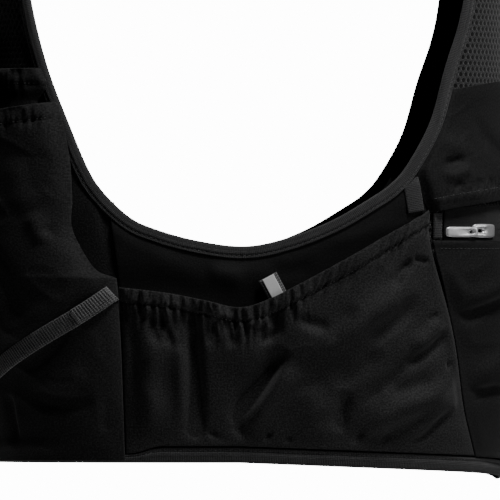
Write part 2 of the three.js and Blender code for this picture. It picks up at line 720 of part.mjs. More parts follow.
const flapLeft = (v) => {
  const seam = backSeam(Math.min(v, FLAP.corner + 6)) + CLEAR;
  return mix(seam, armUp(Math.max(v, FLAP.corner)), ease((v - FLAP.corner + 6) / 14));
};
const backFlap = panel(
  24,
  5,
  acrossBack((a, b) => {
    const row = mix(FLAP.low, FLAP.top, b);
    const s = mix(flapLeft(row), BACK, a);
    const v = mix(flapBottom(s), flapTop(s), b);
    const near = 1 - ease((b - 0.05) / 0.8);
    const off = MESH + CLEAR + (backLow(s, 140) - MESH) * near;
    return [s, v, off, off + FABRIC];
  }),
);
const zipEndTab = panel(1, 2, (a, b) => {
  const v = mix(END_TAB.low, END_TAB.high - 2.8, b);
  const s = END_TAB.start + a * END_TAB.width;
  return [s, v, MESH + CLEAR, MESH + CLEAR + 1.6];
});

// Pocket stay, a short tape from the armhole binding to the pocket's back corner
const stay = band(
  line([
    [STAY.bottom.s, STAY.bottom.v],
    [STAY.top.s, STAY.top.v],
  ]),
  STAY.width,
  2,
  () => [WING + CLEAR, WING + CLEAR + TAPE],
);

// Strap from the side seam to the front corner
const strapPath = line(SIDE_STRAP.map((p) => [p.s, p.v]));
const [buckleS, buckleV] = strapPath(BUCKLE.at);
const strapLow = (s, v) => {
  const near = hump(Math.hypot(s - buckleS, v - buckleV) / (BUCKLE.length * 1.4));
  return frontPocketHigh(s, v) + 2 * CLEAR + (BUCKLE.wall + CLEAR) * near;
};
const tackShare = WEBBING.tack / 150;
const sideStrap = band(strapPath, WEBBING.width, 22, (s, v, a) => {
  const doubled = a < tackShare + 0.001 ? 2 : 1;
  const low = strapLow(s, v);
  return [low, low + doubled * WEBBING.thickness];
});

// A frame standing on a surface that is given by its height: x along the given way on the pattern, z outward
function frameOn(s, v, height, ws, wv) {
  const point = (ds, dv) => onBody(s + ds, v + dv, height(s + ds, v + dv));
  const reach = 3;
  const along = point(reach * ws, reach * wv).sub(point(-reach * ws, -reach * wv)).normalize();
  const up = point(-reach * wv, reach * ws).sub(point(reach * wv, -reach * ws));
  const out = along.clone().cross(up).normalize();
  return new THREE.Matrix4().makeBasis(along, out.clone().cross(along), out).setPosition(point(0, 0));
}
function fromSolid(solid, matrix) {
  const mesh = solid.getMesh();
  const points = [];
  for (let i = 0; i < mesh.numVert; i++) {
    const k = i * mesh.numProp;
    points.push(new THREE.Vector3(...mesh.vertProperties.subarray(k, k + 3)).applyMatrix4(matrix));
  }
  return closed(points, Array.from(mesh.triVerts));
}
const box = (x, y, z) => Manifold.cube([x, y, z], true);
const bevelled = (x, y, z, r) =>
  Manifold.hull([box(x, y - 2 * r, z - r), box(x - 2 * r, y, z - r), box(x - 2 * r, y - 2 * r, z)]);

const hole = { width: WEBBING.width + 2 * SLOT, height: WEBBING.thickness + 2 * SLOT };
const [fromS, fromV] = strapPath(BUCKLE.at - 0.03);
const [toS, toV] = strapPath(BUCKLE.at + 0.03);
const strapRun = Math.hypot(toS - fromS, toV - fromV);
const buckleHeight = hole.height + 2 * BUCKLE.wall;
const strapBuckle = fromSolid(
  bevelled(BUCKLE.length, hole.width + 2 * BUCKLE.side, buckleHeight, 0.6).subtract(
    box(BUCKLE.length * 2, hole.width, hole.height),
  ),
  frameOn(
    buckleS,
    buckleV,
    (s, v) => strapLow(s, v) + WEBBING.thickness / 2,
    (toS - fromS) / strapRun,
    (toV - fromV) / strapRun,
  ),
);

// Straps across the chest
const sternumLow = (x) => mix(MESH + CLEAR, OVER + CLEAR, ease((STERNUM.reach - 2 - x) / 5));
const sternumStops = [1, 0.93, 0.86, 0.76, 0.6, 0.3];
const sternumColumns = [...sternumStops.map((x) => (1 - x) / 2), ...sternumStops.map((x) => (1 + x) / 2).reverse()];
const sternumStrap = (height) =>
  panel(sternumColumns, 1, (a, b) => {
    const x = Math.abs(2 * a - 1) * STERNUM.reach;
    const low = sternumLow(x);
    const s = -FRONT - (2 * a - 1) * STERNUM.reach;
    return [s, height + (b - 0.5) * WEBBING.width, low, low + WEBBING.thickness];
  });
const sternumClip = (height) => {
  const matrix = frameOn(-FRONT, height, () => sternumLow(0) + WEBBING.thickness / 2, 1, 0);
  const body = bevelled(CLIP.length, CLIP.width, CLIP.thickness, 1);
  return fromSolid(body.subtract(box(CLIP.length * 2, hole.width, hole.height)), matrix);
};

// Zip slider with its arch, and the puller that hangs on it
const sliderFrame = frameOn(SLIDER.at, zipLine(SLIDER.at), (s, v) => zipHigh(s, v) + CLEAR, 1, 0);
const sliderBody = Manifold.hull([
  box(SLIDER.length * 0.5, SLIDER.width, SLIDER.plate - 0.6).translate([SLIDER.length * 0.1, 0, 0]),
  box(SLIDER.length, SLIDER.neck, SLIDER.plate - 0.6),
  box(SLIDER.length * 0.6, SLIDER.neck, SLIDER.plate),
]).translate([0, 0, SLIDER.plate / 2]);
const archLength = 6.4;
const post = 1.2;
const arch = bevelled(archLength, SLIDER.crown, SLIDER.arch + 1, 0.4)
  .translate([0, 0, SLIDER.plate + (SLIDER.arch - 1) / 2])
  .subtract(box(archLength - 2 * post, SLIDER.crown * 2, SLIDER.arch - 1).translate([0, 0, SLIDER.plate + 0.7]));
const zipSlider = fromSolid(sliderBody.add(arch), sliderFrame);
const eye = { length: post + 2 * CLEAR, width: SLIDER.crown + 2 * CLEAR };
const pullerPlate = Manifold.hull([
  box(1, PULLER.width - 1, PULLER.thickness).translate([-0.5, 0, 0]),
  box(2, PULLER.width, PULLER.thickness).translate([-3, 0, 0]),
  box(1, PULLER.end, PULLER.thickness).translate([0.5 - PULLER.length, 0, 0]),
]);
const eyeAt = -(1 + eye.length / 2);
const pullerSolid = pullerPlate
  .subtract(box(eye.length, eye.width, PULLER.thickness * 2).translate([eyeAt, 0, 0]))
  .subtract(Manifold.cylinder(PULLER.thickness * 2, 1, 1, 12, true).translate([2.2 - PULLER.length, 0, 0]));
const archEnd = (archLength - post) / 2;
const zipPuller = fromSolid(
  pullerSolid.translate([-archEnd - eyeAt, 0, SLIDER.plate + 0.3 + PULLER.thickness / 2]),
  sliderFrame,
);

// Key loop in the left pocket
const loopPath = line([
  [KEY_LOOP.bottom.s, KEY_LOOP.bottom.v],
  [KEY_LOOP.top.s, KEY_LOOP.top.v],
]);
const loopLow = (a) => WING + CLEAR + 2 * ease(a * 1.4);
const keyLoop = band(loopPath, KEY_LOOP.width, 5, (s, v, a) => [loopLow(a), loopLow(a) + KEY_LOOP.ply]);
const stripeLow = (a) => loopLow(mix(0.35, 0.99, a)) + KEY_LOOP.ply + CLEAR / 2;
const keyStripe = band(
  (t) => loopPath(mix(0.35, 0.99, t)),
  KEY_LOOP.stripe,
  4,
  (s, v, a) => [stripeLow(a), stripeLow(a) + KEY_LOOP.stripeCloth],
);

// Materials
const cloth = (color, roughness) => new THREE.MeshStandardMaterial({ color, roughness, metalness: 0 });
const MATERIAL = {
  fabric: cloth(0x1b1b1d, 0.8),
  mesh: cloth(0x262628, 0.9),
  binding: cloth(0x2a2a2c, 0.85),
  webbing: cloth(0x303032, 0.8),
  plastic: cloth(0x141416, 0.45),
  reflective: cloth(0xc9c9c9, 0.4),
  metal: new THREE.MeshStandardMaterial({ color: 0x77787a, roughness: 0.35, metalness: 1 }),
};

const vest = new THREE.Group();
vest.name = "running_vest";
function add(name, geometry, material) {
  const moved = geometry.clone().translate(0, 0, -carryHeight);
  moved.computeVertexNormals();
  const mesh = new THREE.Mesh(moved, material);
  mesh.name = name;
  vest.add(mesh);
}
function pair(name, geometry, material) {
  add(name + "_left", geometry, material);
  add(name + "_right", mirrored(geometry), material);
}

add("back_mesh", backMesh, MATERIAL.mesh);
pair("front_mesh", frontMesh, MATERIAL.mesh);
pair("side_panel", wing, MATERIAL.fabric);
pair("side_pocket", sidePocket, MATERIAL.fabric);
pair("flask_pocket", flaskPocket, MATERIAL.fabric);
pair("front_pocket", frontPocket, MATERIAL.fabric);
add("back_flap", backFlap, MATERIAL.fabric);
add("back_pocket", backPocket, MATERIAL.fabric);
add("zip_tape", zipTape, MATERIAL.webbing);
add("zip_slider", zipSlider, MATERIAL.metal);
add("zip_puller", zipPuller, MATERIAL.metal);
add("zip_end_tab", zipEndTab, MATERIAL.binding);
pair("armhole_binding", armBinding, MATERIAL.binding);
add("hem_binding", hemBinding, MATERIAL.binding);
add("neck_binding", neckBinding, MATERIAL.binding);
pair("pocket_stay", stay, MATERIAL.binding);
pair("side_strap", sideStrap, MATERIAL.webbing);
pair("strap_buckle", strapBuckle, MATERIAL.plastic);
add("key_loop", keyLoop, MATERIAL.binding);
add("key_loop_stripe", keyStripe, MATERIAL.reflective);
for (const [place, height] of Object.entries(STERNUM.heights)) {
  add("sternum_strap_" + place, sternumStrap(height), MATERIAL.webbing);
  add("sternum_clip_" + place, sternumClip(height), MATERIAL.plastic);
}

export default vest;
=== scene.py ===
"""A running hydration vest in black cloth, seen from the wearer's left side.

Each cloth piece is drawn flat on the pattern and wrapped round the body, as in the part's source. On the
pattern s is the way round the chest in mm from the middle of the left side, below 0 to the front and
above 0 to the back, and v is the height above the hem in mm. Heights over the body are in mm too. Meshes
are in metres.
"""

import math

import bpy
import numpy as np
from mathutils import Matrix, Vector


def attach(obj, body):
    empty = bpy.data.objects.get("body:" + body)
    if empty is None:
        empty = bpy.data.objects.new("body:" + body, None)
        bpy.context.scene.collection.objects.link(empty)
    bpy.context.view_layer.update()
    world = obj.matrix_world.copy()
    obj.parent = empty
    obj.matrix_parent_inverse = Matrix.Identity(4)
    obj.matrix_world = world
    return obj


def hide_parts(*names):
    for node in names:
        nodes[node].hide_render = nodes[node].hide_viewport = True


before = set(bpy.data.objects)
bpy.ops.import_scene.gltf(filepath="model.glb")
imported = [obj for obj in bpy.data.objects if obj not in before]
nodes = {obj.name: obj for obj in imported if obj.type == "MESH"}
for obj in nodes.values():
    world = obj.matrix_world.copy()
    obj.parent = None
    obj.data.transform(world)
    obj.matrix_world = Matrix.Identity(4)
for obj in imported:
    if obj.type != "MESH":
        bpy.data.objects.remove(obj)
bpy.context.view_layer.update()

# Sizes of the worn form and of the cloth
HALF_WIDTH, FRONT_DEPTH, BACK_DEPTH = 150, 142, 152
ARM_LINE, SHOULDER_LENGTH, SHOULDER_HEIGHT = 250, 150, 365
SHOULDER_NECK, SHOULDER_ARM, SHOULDER_DROP = 58, 118, 20
CLEAR, MESH, WING, EDGE, FABRIC, TAPE, HALF_SEAM = 0.4, 1.8, 1.2, 1.0, 1.0, 1.0, 0.15
SLOT, NECK_SLOT, BINDING, TUCK, NAPE_TUCK = 0.6, 0.8, 6.5, 3, 5.4
HEM_BAND, HEM_BAND_NARROW, HEM_DROP = 8, 4.3, 9.8
OVER = EDGE + SLOT + TAPE
APEX = ARM_LINE + SHOULDER_LENGTH
WEBBING_WIDTH, WEBBING_CLOTH = 8.6, 1.2


def mix(a, b, t):
    """A straight change from a to b."""
    return a + (b - a) * t


def clamp(x):
    """A value held between 0 and 1."""
    return np.clip(x, 0, 1)


def ease(x):
    """A smooth step: x squared times three less twice x, between 0 and 1."""
    return clamp(x) ** 2 * (3 - 2 * clamp(x))


def bell(x):
    """A bell curve: the exponential of less x squared."""
    return np.exp(-np.square(x))


def arch(x):
    """A half circle's height over a span from 0 to 1."""
    return np.sqrt(np.maximum(4 * x * (1 - x), 0))


# The pattern and the body


def chest_section():
    """Half a superellipse of power 3, from front centre to back centre, with its arc length counted from
    the side."""
    turn = np.linspace(-np.pi / 2, np.pi / 2, 12001)
    depth = np.where(np.sin(turn) < 0, FRONT_DEPTH, BACK_DEPTH)
    reach = (np.abs(np.cos(turn) / HALF_WIDTH) ** 3 + np.abs(np.sin(turn) / depth) ** 3) ** (-1 / 3)
    x, y = np.maximum(reach * np.cos(turn), 0), reach * np.sin(turn)
    run = np.concatenate([[0], np.cumsum(np.hypot(np.diff(x), np.diff(y)))])
    dx, dy = x[24:] - x[:-24], y[24:] - y[:-24]
    span = np.hypot(dx, dy)
    nx = np.pad(dy / span, 12, mode="edge")
    ny = np.pad(-dx / span, 12, mode="edge")
    return run - run[6000], x, y, nx, ny


SECTION_S, SECTION_X, SECTION_Y, SECTION_NX, SECTION_NY = chest_section()
FRONT, BACK = -SECTION_S[0], SECTION_S[-1]


def smooth_line(points, fine=40):
    """A Catmull-Rom curve through the points, as a function of the share of its length."""
    p = np.asarray(points, float)
    i = np.arange(len(p) - 1)
    a, b, c, d = (p[np.clip(i + k, 0, len(p) - 1)][:, None] for k in (-1, 0, 1, 2))
    t = (np.arange(fine) / fine)[None, :, None]
    bend = 2 * a - 5 * b + 4 * c - d + (3 * (b - c) + d - a) * t
    q = np.vstack([(b + 0.5 * t * (c - a + t * bend)).reshape(-1, p.shape[1]), p[-1:]])
    run = np.concatenate([[0], np.cumsum(np.linalg.norm(np.diff(q, axis=0), axis=1))])

    def at(share):
        goal = clamp(np.asarray(share, float)) * run[-1]
        return [np.interp(goal, run, q[:, k]) for k in range(p.shape[1])]

    at.length = run[-1]
    at.points = q
    return at


def table(rows):
    """A smooth value read from rows of (place, value)."""
    q = smooth_line(rows).points
    return lambda x: np.interp(x, q[:, 0], q[:, 1])


ARMHOLE = smooth_line(
    [
        (131, APEX), (131, 318.6), (130, 280.2), (126.5, 250), (121.2, 229.6), (111.8, 206.8),
        (102.5, 178.9), (89.2, 156.3), (79.8, 145.8), (69.1, 138.5), (48.2, 126.4), (24.3, 117.05),
        (2, 112.8), (-23.5, 115.96), (-45.7, 122.3), (-58, 128.4), (-71.4, 141.06), (-79.8, 153.5),
        (-91.2, 178.7), (-102.2, 203.8), (-110.8, 229), (-115.8, 250), (-119.8, 280.2),
        (-121, 318.6), (-121, APEX),
    ]
)
ARM_FRONT, ARM_BACK = -121, 131
# Half the open front's width at the hem and at the arm line
NECK_GAP = 26, 36
X_ARM_FRONT = np.interp(ARM_FRONT, SECTION_S, SECTION_X)
X_ARM_BACK = np.interp(ARM_BACK, SECTION_S, SECTION_X)


def neck_edge(v):
    """The front edge's place round the chest, which leans toward the side up to the arm line."""
    return -FRONT + mix(*NECK_GAP, clamp(v / ARM_LINE))


X_NECK_FRONT = np.interp(neck_edge(ARM_LINE), SECTION_S, SECTION_X)
behind = (SECTION_S > ARM_BACK) & (SECTION_X < SHOULDER_NECK / SHOULDER_ARM * X_ARM_BACK)
NECK_BACK = SECTION_S[behind][0]


def on_body(s, v, off):
    """Wraps the pattern round the body, in mm: straight up to the arm line, then over the shoulder on a
    quarter ellipse, drawn in from the chest's width to the shoulder's, and lifts it off along the
    surface's normal."""
    s, v, off = np.broadcast_arrays(np.asarray(s, float), v, off)
    far = (s > BACK) | (s < -FRONT)
    m = np.where(s > BACK, 2 * BACK - s, np.where(s < -FRONT, -2 * FRONT - s, s))
    x, y, nx, ny = (np.interp(m, SECTION_S, c) for c in (SECTION_X, SECTION_Y, SECTION_NX, SECTION_NY))
    k = 1 - 0.05 * (1 - np.minimum(v / 150, 1)) ** 2
    low = np.stack([k * x + off * nx, k * y + off * ny, v + 0 * x], -1)
    turn = np.clip((v - ARM_LINE) / SHOULDER_LENGTH, 0, 1) * np.pi / 2
    across = (x - X_NECK_FRONT) / (X_ARM_FRONT - X_NECK_FRONT)
    top = np.where(m < 0, mix(SHOULDER_NECK, SHOULDER_ARM, across), x * SHOULDER_ARM / X_ARM_BACK)
    past = np.maximum(top - SHOULDER_NECK, 0) / (SHOULDER_ARM - SHOULDER_NECK)
    rise = SHOULDER_HEIGHT - SHOULDER_DROP * past**2 - ARM_LINE
    slope = 2 * SHOULDER_DROP * past / (SHOULDER_ARM - SHOULDER_NECK)
    out = rise * np.cos(turn)
    up = np.abs(y) * np.sin(turn) / np.hypot(slope, 1)
    n = np.stack([out * nx + up * slope, out * ny, up], -1)
    n /= np.linalg.norm(n, axis=-1, keepdims=True)
    high = np.stack([mix(x, top, 1 - np.cos(turn)), y * np.cos(turn), ARM_LINE + rise * np.sin(turn)], -1)
    p = np.where((v <= ARM_LINE)[..., None], low, high + off[..., None] * n)
    p[..., 0] *= np.where(far, -1, 1)
    return p


CARRY = on_body(mix(neck_edge(ARM_LINE), ARM_FRONT, 0.5), APEX, 0)[2]


def placed(s, v, off):
    """A place on the pattern in the row frame, in metres."""
    return (on_body(s, v, off) - [0, 0, CARRY]) / 1000


def into(edge, distance):
    """A step of so many mm into the cloth from an edge (place s, v and direction ds, dv)."""
    s, v, ds, dv = edge
    scale = np.linalg.norm(on_body(s + 0.5 * ds, v + 0.5 * dv, 0) - on_body(s, v, 0), axis=-1) / 0.5
    return s + distance / scale * ds, v + distance / scale * dv


def edge_of(path, t):
    """A path's place and its unit normal on the pattern, from two points close by."""
    t = np.asarray(t, float)
    s0, v0 = path(t - 0.004)
    s1, v1 = path(t + 0.004)
    s, v = path(t)
    run = np.hypot(s1 - s0, v1 - v0)
    return s, v, (v0 - v1) / run, (s1 - s0) / run


def hem(s):
    """The hem's height, which drops evenly from the side to the back."""
    return -HEM_DROP * clamp(mid(s) / BACK)


def mid(s):
    """The same place on the left half."""
    return np.where(s > BACK, 2 * BACK - s, s)


def front_seam(v):
    """The front side seam: it leans forward by the fourth power of the height."""
    return -(61.7 + 6.5 * (np.maximum(v, 0) / 130) ** 4)


SEAM_FOOT, SEAM_HEIGHT = 143, 160
BACK_SEAM_LINE = table(
    [(0, 1), (0.11, 0.931), (0.206, 0.886), (0.417, 0.823), (0.655, 0.729), (0.75, 0.702), (0.819, 0.7),
     (0.869, 0.678), (1, 0.64)]
)


def back_seam(v):
    """The back side seam, from shares of its place at the hem and of its height."""
    return SEAM_FOOT * BACK_SEAM_LINE(np.asarray(v) / SEAM_HEIGHT)


def arm_inner(t, distance=TUCK):
    """A place so many mm inside the armhole's edge."""
    return into(edge_of(ARMHOLE, t), distance)


def meeting(seam, low, high):
    """Where a seam meets the armhole, as a share of the armhole's length."""
    t = np.linspace(low, high, 4001)
    s, v = arm_inner(t)
    return t[np.argmax(s <= seam(v))]


MEET_BACK = meeting(back_seam, 0.2, 0.5)
MEET_FRONT = meeting(front_seam, 0.45, 0.8)
FRONT_TOP = arm_inner(MEET_FRONT)
BACK_TOP = arm_inner(MEET_BACK)
SHOULDER_LINE = APEX - 0.01
BACK_FOOT = hem(SEAM_FOOT) + TUCK


# Rumples, folds and gathers

LAYERS, CELLS = 6, 128
LATTICE = np.random.default_rng(11).random((LAYERS, CELLS, CELLS)) * 2 - 1


def rumple(s, v, size, layer=0):
    """Smooth random heights from -1 to 1: a seeded lattice, its numbers size mm apart, eased between its
    corners."""
    start = 5 * CELLS
    x, y = np.asarray(s) / size + start, np.asarray(v) / size + start
    i, j = np.floor(x).astype(int), np.floor(y).astype(int)
    f, g = ease(x - i), ease(y - j)
    net = LATTICE[layer % LAYERS]
    i, j, k, m = i % CELLS, j % CELLS, (i + 1) % CELLS, (j + 1) % CELLS
    return mix(mix(net[j, i], net[j, k], f), mix(net[m, i], net[m, k], f), g)


def creases(s, v, size, layer=0, lean=0.5):
    """Sharp ridges between smooth hollows, from 0 to 1: one less the rumple's absolute value, to the
    fourth power, drawn out to twice its length along a leaning line."""
    along, across = s + lean * v, v - lean * s
    return (1 - np.abs(rumple(along / 2, across, size, layer))) ** 4


def fold(s, v, path, high, wide, other=None):
    """A fold along a curve: its height times a bell curve of the distance, with a breadth for each side
    of the curve, fading past the curve's ends."""
    steps = 27
    qs, qv = smooth_line(path, 10)(np.linspace(0, 1, steps + 1))
    best = np.full(np.shape(s), 1e9)
    side, share = np.zeros((2, *np.shape(s)))
    for k in range(steps):
        ds, dv = qs[k + 1] - qs[k], qv[k + 1] - qv[k]
        t = clamp(((s - qs[k]) * ds + (v - qv[k]) * dv) / (ds * ds + dv * dv))
        es, ev = s - qs[k] - t * ds, v - qv[k] - t * dv
        away = np.hypot(es, ev)
        near = away < best
        best = np.where(near, away, best)
        side = np.where(near, ds * ev - dv * es, side)
        share = np.where(near, (k + t) / steps, share)
    breadth = np.where(side > 0, wide, other or wide)
    taper, blunt = 0.35, 0.12
    ends = ease(share / taper + blunt) * ease((1 - share) / taper + blunt)
    return high * bell(best / breadth) * ends


def folds(s, v, rows):
    """The sum of all folds in a list."""
    return sum(fold(s, v, *row) for row in rows)


# Mesh making


def new_piece(name, points, faces, uv, finish, replaces=()):
    """Puts points and four-cornered faces into a mesh, turned outward by its signed volume, with its
    place on the cloth in mm as its UV map."""
    p = np.asarray(points, float).reshape(-1, 3)
    f = np.asarray(faces, int)
    a, b, c, d = (p[f[:, k]] for k in range(4))
    centre = p.mean(0)
    volume = np.einsum("ij,ij->i", a - centre, np.cross(b - centre, c - centre)).sum()
    volume += np.einsum("ij,ij->i", a - centre, np.cross(c - centre, d - centre)).sum()
    if volume < 0:
        f = f[:, ::-1]
    mesh = bpy.data.meshes.new(name)
    mesh.vertices.add(len(p))
    mesh.vertices.foreach_set("co", p.astype(np.float32).ravel())
    mesh.loops.add(f.size)
    mesh.loops.foreach_set("vertex_index", f.astype(np.int32).ravel())
    mesh.polygons.add(len(f))
    mesh.polygons.foreach_set("loop_start", np.arange(0, f.size, 4, dtype=np.int32))
    mesh.polygons.foreach_set("use_smooth", np.ones(len(f), bool))
    mesh.update(calc_edges=True)
    layer = mesh.uv_layers.new(name="cloth")
    layer.data.foreach_set("uv", np.asarray(uv, float).reshape(-1, 2)[f.ravel()].astype(np.float32).ravel())
    piece = bpy.data.objects.new(name, mesh)
    bpy.context.scene.collection.objects.link(piece)
    mesh.materials.append(finish)
    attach(piece, "root")
    if replaces:
        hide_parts(*replaces)
    return piece


def place_piece(name, points, faces, uv, finish, cad_node=None, both=False):
    """A piece in place of a CAD node or beside them; both makes a left one and its mirror image on the
    right."""
    pieces = []
    for end, turn in (("_left", 1), ("_right", -1)) if both else (("", 1),):
        replaces = [cad_node + end] if cad_node else ()
        pieces.append(new_piece(name + end, points * [turn, 1, 1], faces, uv, finish, replaces))
    return pieces


def sheet_faces(nu, nv):
    """Faces of a cloth with an inner side, an outer side and a rim."""
    i = np.arange(nu * nv).reshape(nv, nu)
    quads = np.stack([i[:-1, :-1], i[:-1, 1:], i[1:, 1:], i[1:, :-1]], -1).reshape(-1, 4)
    rim = np.concatenate([i[0, :-1], i[:-1, -1], i[-1, :0:-1], i[:0:-1, 0]])
    after = np.roll(rim, -1)
    side = np.stack([rim, after, after + nu * nv, rim + nu * nv], -1)
    return np.vstack([quads[:, ::-1], quads + nu * nv, side])


def spread(count, span, edge=0.5):
    """Shares from 0 to 1, evenly spaced, with closer ones at both ends for a rounded edge of so many
    mm."""
    near = np.array([0, 0.08, 0.3, 0.65, 1]) * edge / span
    inner = np.linspace(near[-1], 1 - near[-1], count)
    return np.concatenate([near[:-1], inner, 1 - near[-2::-1]])


def rounded(a, b, spans, low, high):
    """The heights of a cloth's two sides, drawn together at its edges: the thickness follows a half
    circle's height over the distance from the edge, down to a least share. spans are its width and length
    in mm."""
    least_radius, least_share = 0.1, 0.12
    half = (high - low) / 2
    edge = np.minimum(np.minimum(a, 1 - a) * spans[0], np.minimum(b, 1 - b) * spans[1])
    share = np.sqrt(1 - (1 - clamp(edge / np.maximum(half, least_radius))) ** 2)
    thick = half * np.maximum(share, least_share)
    middle = (low + high) / 2
    return middle - thick, middle + thick


def cloth(columns, rows, shape, spans):
    """A cloth's points, faces and UVs, where shape(a, b) gives s, v and the heights of both sides."""
    a, b = np.meshgrid(columns, rows)
    s, v, low, high = (np.broadcast_to(x, a.shape) for x in shape(a, b))
    points = np.stack([placed(s, v, height) for height in rounded(a, b, spans, low, high)])
    uv = np.stack([np.stack([s, v], -1)] * 2)
    return points, sheet_faces(len(columns), len(rows)), uv


def across_back(half):
    """A shape across the back from its left half, which runs from a = 0 to its middle at a = 1."""

    def whole(a, b):
        s, v, *rest = half(np.where(a < 0.5, 2 * a, 2 - 2 * a), b)
        return [np.where(a <= 0.5, s, 2 * BACK - s), v, *rest]

    return whole


def swept(stations, ring, closed):
    """Faces of rings of points along a path; at open ends the first half of a ring meets its second
    half."""
    i = np.arange(stations * ring).reshape(stations, ring)
    nxt = np.roll(i, -1, 0) if closed else i[1:]
    here = i if closed else i[:-1]
    turned, turned_next = np.roll(here, -1, 1), np.roll(nxt, -1, 1)
    body = np.stack([here, turned, turned_next, nxt], -1).reshape(-1, 4)
    if closed:
        return body
    k = np.arange(ring // 2 - 1)
    start = np.stack([k, ring - 1 - k, ring - 2 - k, k + 1], -1)
    end = start[:, ::-1] + (stations - 1) * ring
    return np.vstack([body, start, end])


# Finishes


def node(tree, kind, inputs=None, **settings):
    """Adds a shader node, with its inputs linked to sockets or set to values."""
    one = tree.nodes.new("ShaderNode" + kind)
    for key, value in settings.items():
        setattr(one, key, value)
    for key, value in (inputs or {}).items():
        if isinstance(value, bpy.types.NodeSocket):
            tree.links.new(value, one.inputs[key])
        else:
            one.inputs[key].default_value = value
    return one


def math_node(tree, operation, a, b=0.0, c=0.0):
    """One sum on sockets or numbers."""
    return node(tree, "Math", {0: a, 1: b, 2: c}, operation=operation).outputs[0]


def finish_of(name, roughness, specular, sheen=0.0, metallic=0.0):
    """A named material, with its node tree and its shader."""
    finish = bpy.data.materials.new(name)
    finish.use_nodes = True
    tree = finish.node_tree
    shader = tree.nodes["Principled BSDF"]
    shader.inputs["Roughness"].default_value = roughness
    shader.inputs["Specular IOR Level"].default_value = specular
    shader.inputs["Sheen Weight"].default_value = sheen
    shader.inputs["Sheen Roughness"].default_value = 0.45
    shader.inputs["Metallic"].default_value = metallic
    return finish, tree, shader


def cloth_place(tree):
    """The place on the cloth in mm, from the UV map."""
    return node(tree, "UVMap", uv_map="cloth").outputs["UV"]


def tone(tree, shader, share, dark, light):
    """Colours the shader between two tones by a share from 0 to 1, and gives the ramp."""
    ramp = node(tree, "ValToRGB", {"Fac": share})
    ramp.color_ramp.elements[0].color = (*dark, 1)
    ramp.color_ramp.elements[1].color = (*light, 1)
    tree.links.new(ramp.outputs["Color"], shader.inputs["Base Color"])
    return ramp


def relief(tree, shader, height, distance, under=None):
    """Bumps the shader by a height from 0 to 1 times a distance in metres, over the bumps under it."""
    inputs = {"Height": height, "Distance": distance}
    if under is not None:
        inputs["Normal"] = under
    bump = node(tree, "Bump", inputs).outputs["Normal"]
    tree.links.new(bump, shader.inputs["Normal"])
    return bump


def noise(tree, place, scale, detail=3.0, rough=0.5):
    """Fractal noise from 0 to 1."""
    return node(
        tree, "TexNoise", {"Vector": place, "Scale": scale, "Detail": detail, "Roughness": rough}
    ).outputs["Fac"]


def ribs(tree, value, pitch):
    """A wave from 0 to 1 with one rib in each pitch."""
    wave = math_node(tree, "SINE", math_node(tree, "MULTIPLY", value, 2 * math.pi / pitch))
    return math_node(tree, "MULTIPLY_ADD", wave, 0.5, 0.5)


def ribbed(name, look, tones, pitches, rib_share, yarn, cloud, less, depths):
    """Two sets of ribs at right angles, multiplied, with noises for the yarn and for clouds: a share of
    each, less a constant, runs between the two tones. yarn has a scale and a share, cloud a scale, a
    detail and a share, and depths are the yarn's and the ribs' relief in metres."""
    finish, tree, shader = finish_of(name, *look)
    place = cloth_place(tree)
    axes = node(tree, "SeparateXYZ", {"Vector": place})
    along, over = (ribs(tree, axes.outputs[axis], pitch) for axis, pitch in zip("XY", pitches))
    crossed = math_node(tree, "MULTIPLY", along, over)
    fuzz = noise(tree, place, yarn[0], 4, 0.7)
    clouds = noise(tree, place, cloud[0], cloud[1])
    share = math_node(tree, "MULTIPLY", fuzz, yarn[1])
    share = math_node(tree, "MULTIPLY_ADD", crossed, rib_share, share)
    share = math_node(tree, "MULTIPLY_ADD", clouds, cloud[2], share)
    tone(tree, shader, math_node(tree, "SUBTRACT", share, less), *tones)
    grain = relief(tree, shader, fuzz, depths[0])
    relief(tree, shader, crossed, depths[1], grain)
    return finish


def woven(name, dark, light, roughness=0.72, specular=0.22, sheen=0.12):
    """A plain weave: even fine ribs both ways, with thread-to-thread and cloudy variation of tone."""
    look, pitch, depth = (roughness, specular, sheen), 0.62, 0.00005
    pitches, depths = (pitch, pitch), (depth * 4, depth)
    return ribbed(name, look, (dark, light), pitches, 0.35, (1.1, 4.0), (0.045, 3, 0.5), 1.95, depths)


def taped(name, dark, light, pitch=0.9):
    """Knitted tape: fine ribs along its length, broken into loops by closer ones, under a soft fuzz."""
    look, depth = (0.82, 0.2, 0.22), 0.0002
    pitches, depths = (pitch, pitch * 0.7), (depth, depth)
    return ribbed(name, look, (dark, light), pitches, 0.6, (1.4, 1.6), (0.08, 2, 0.4), 0.72, depths)


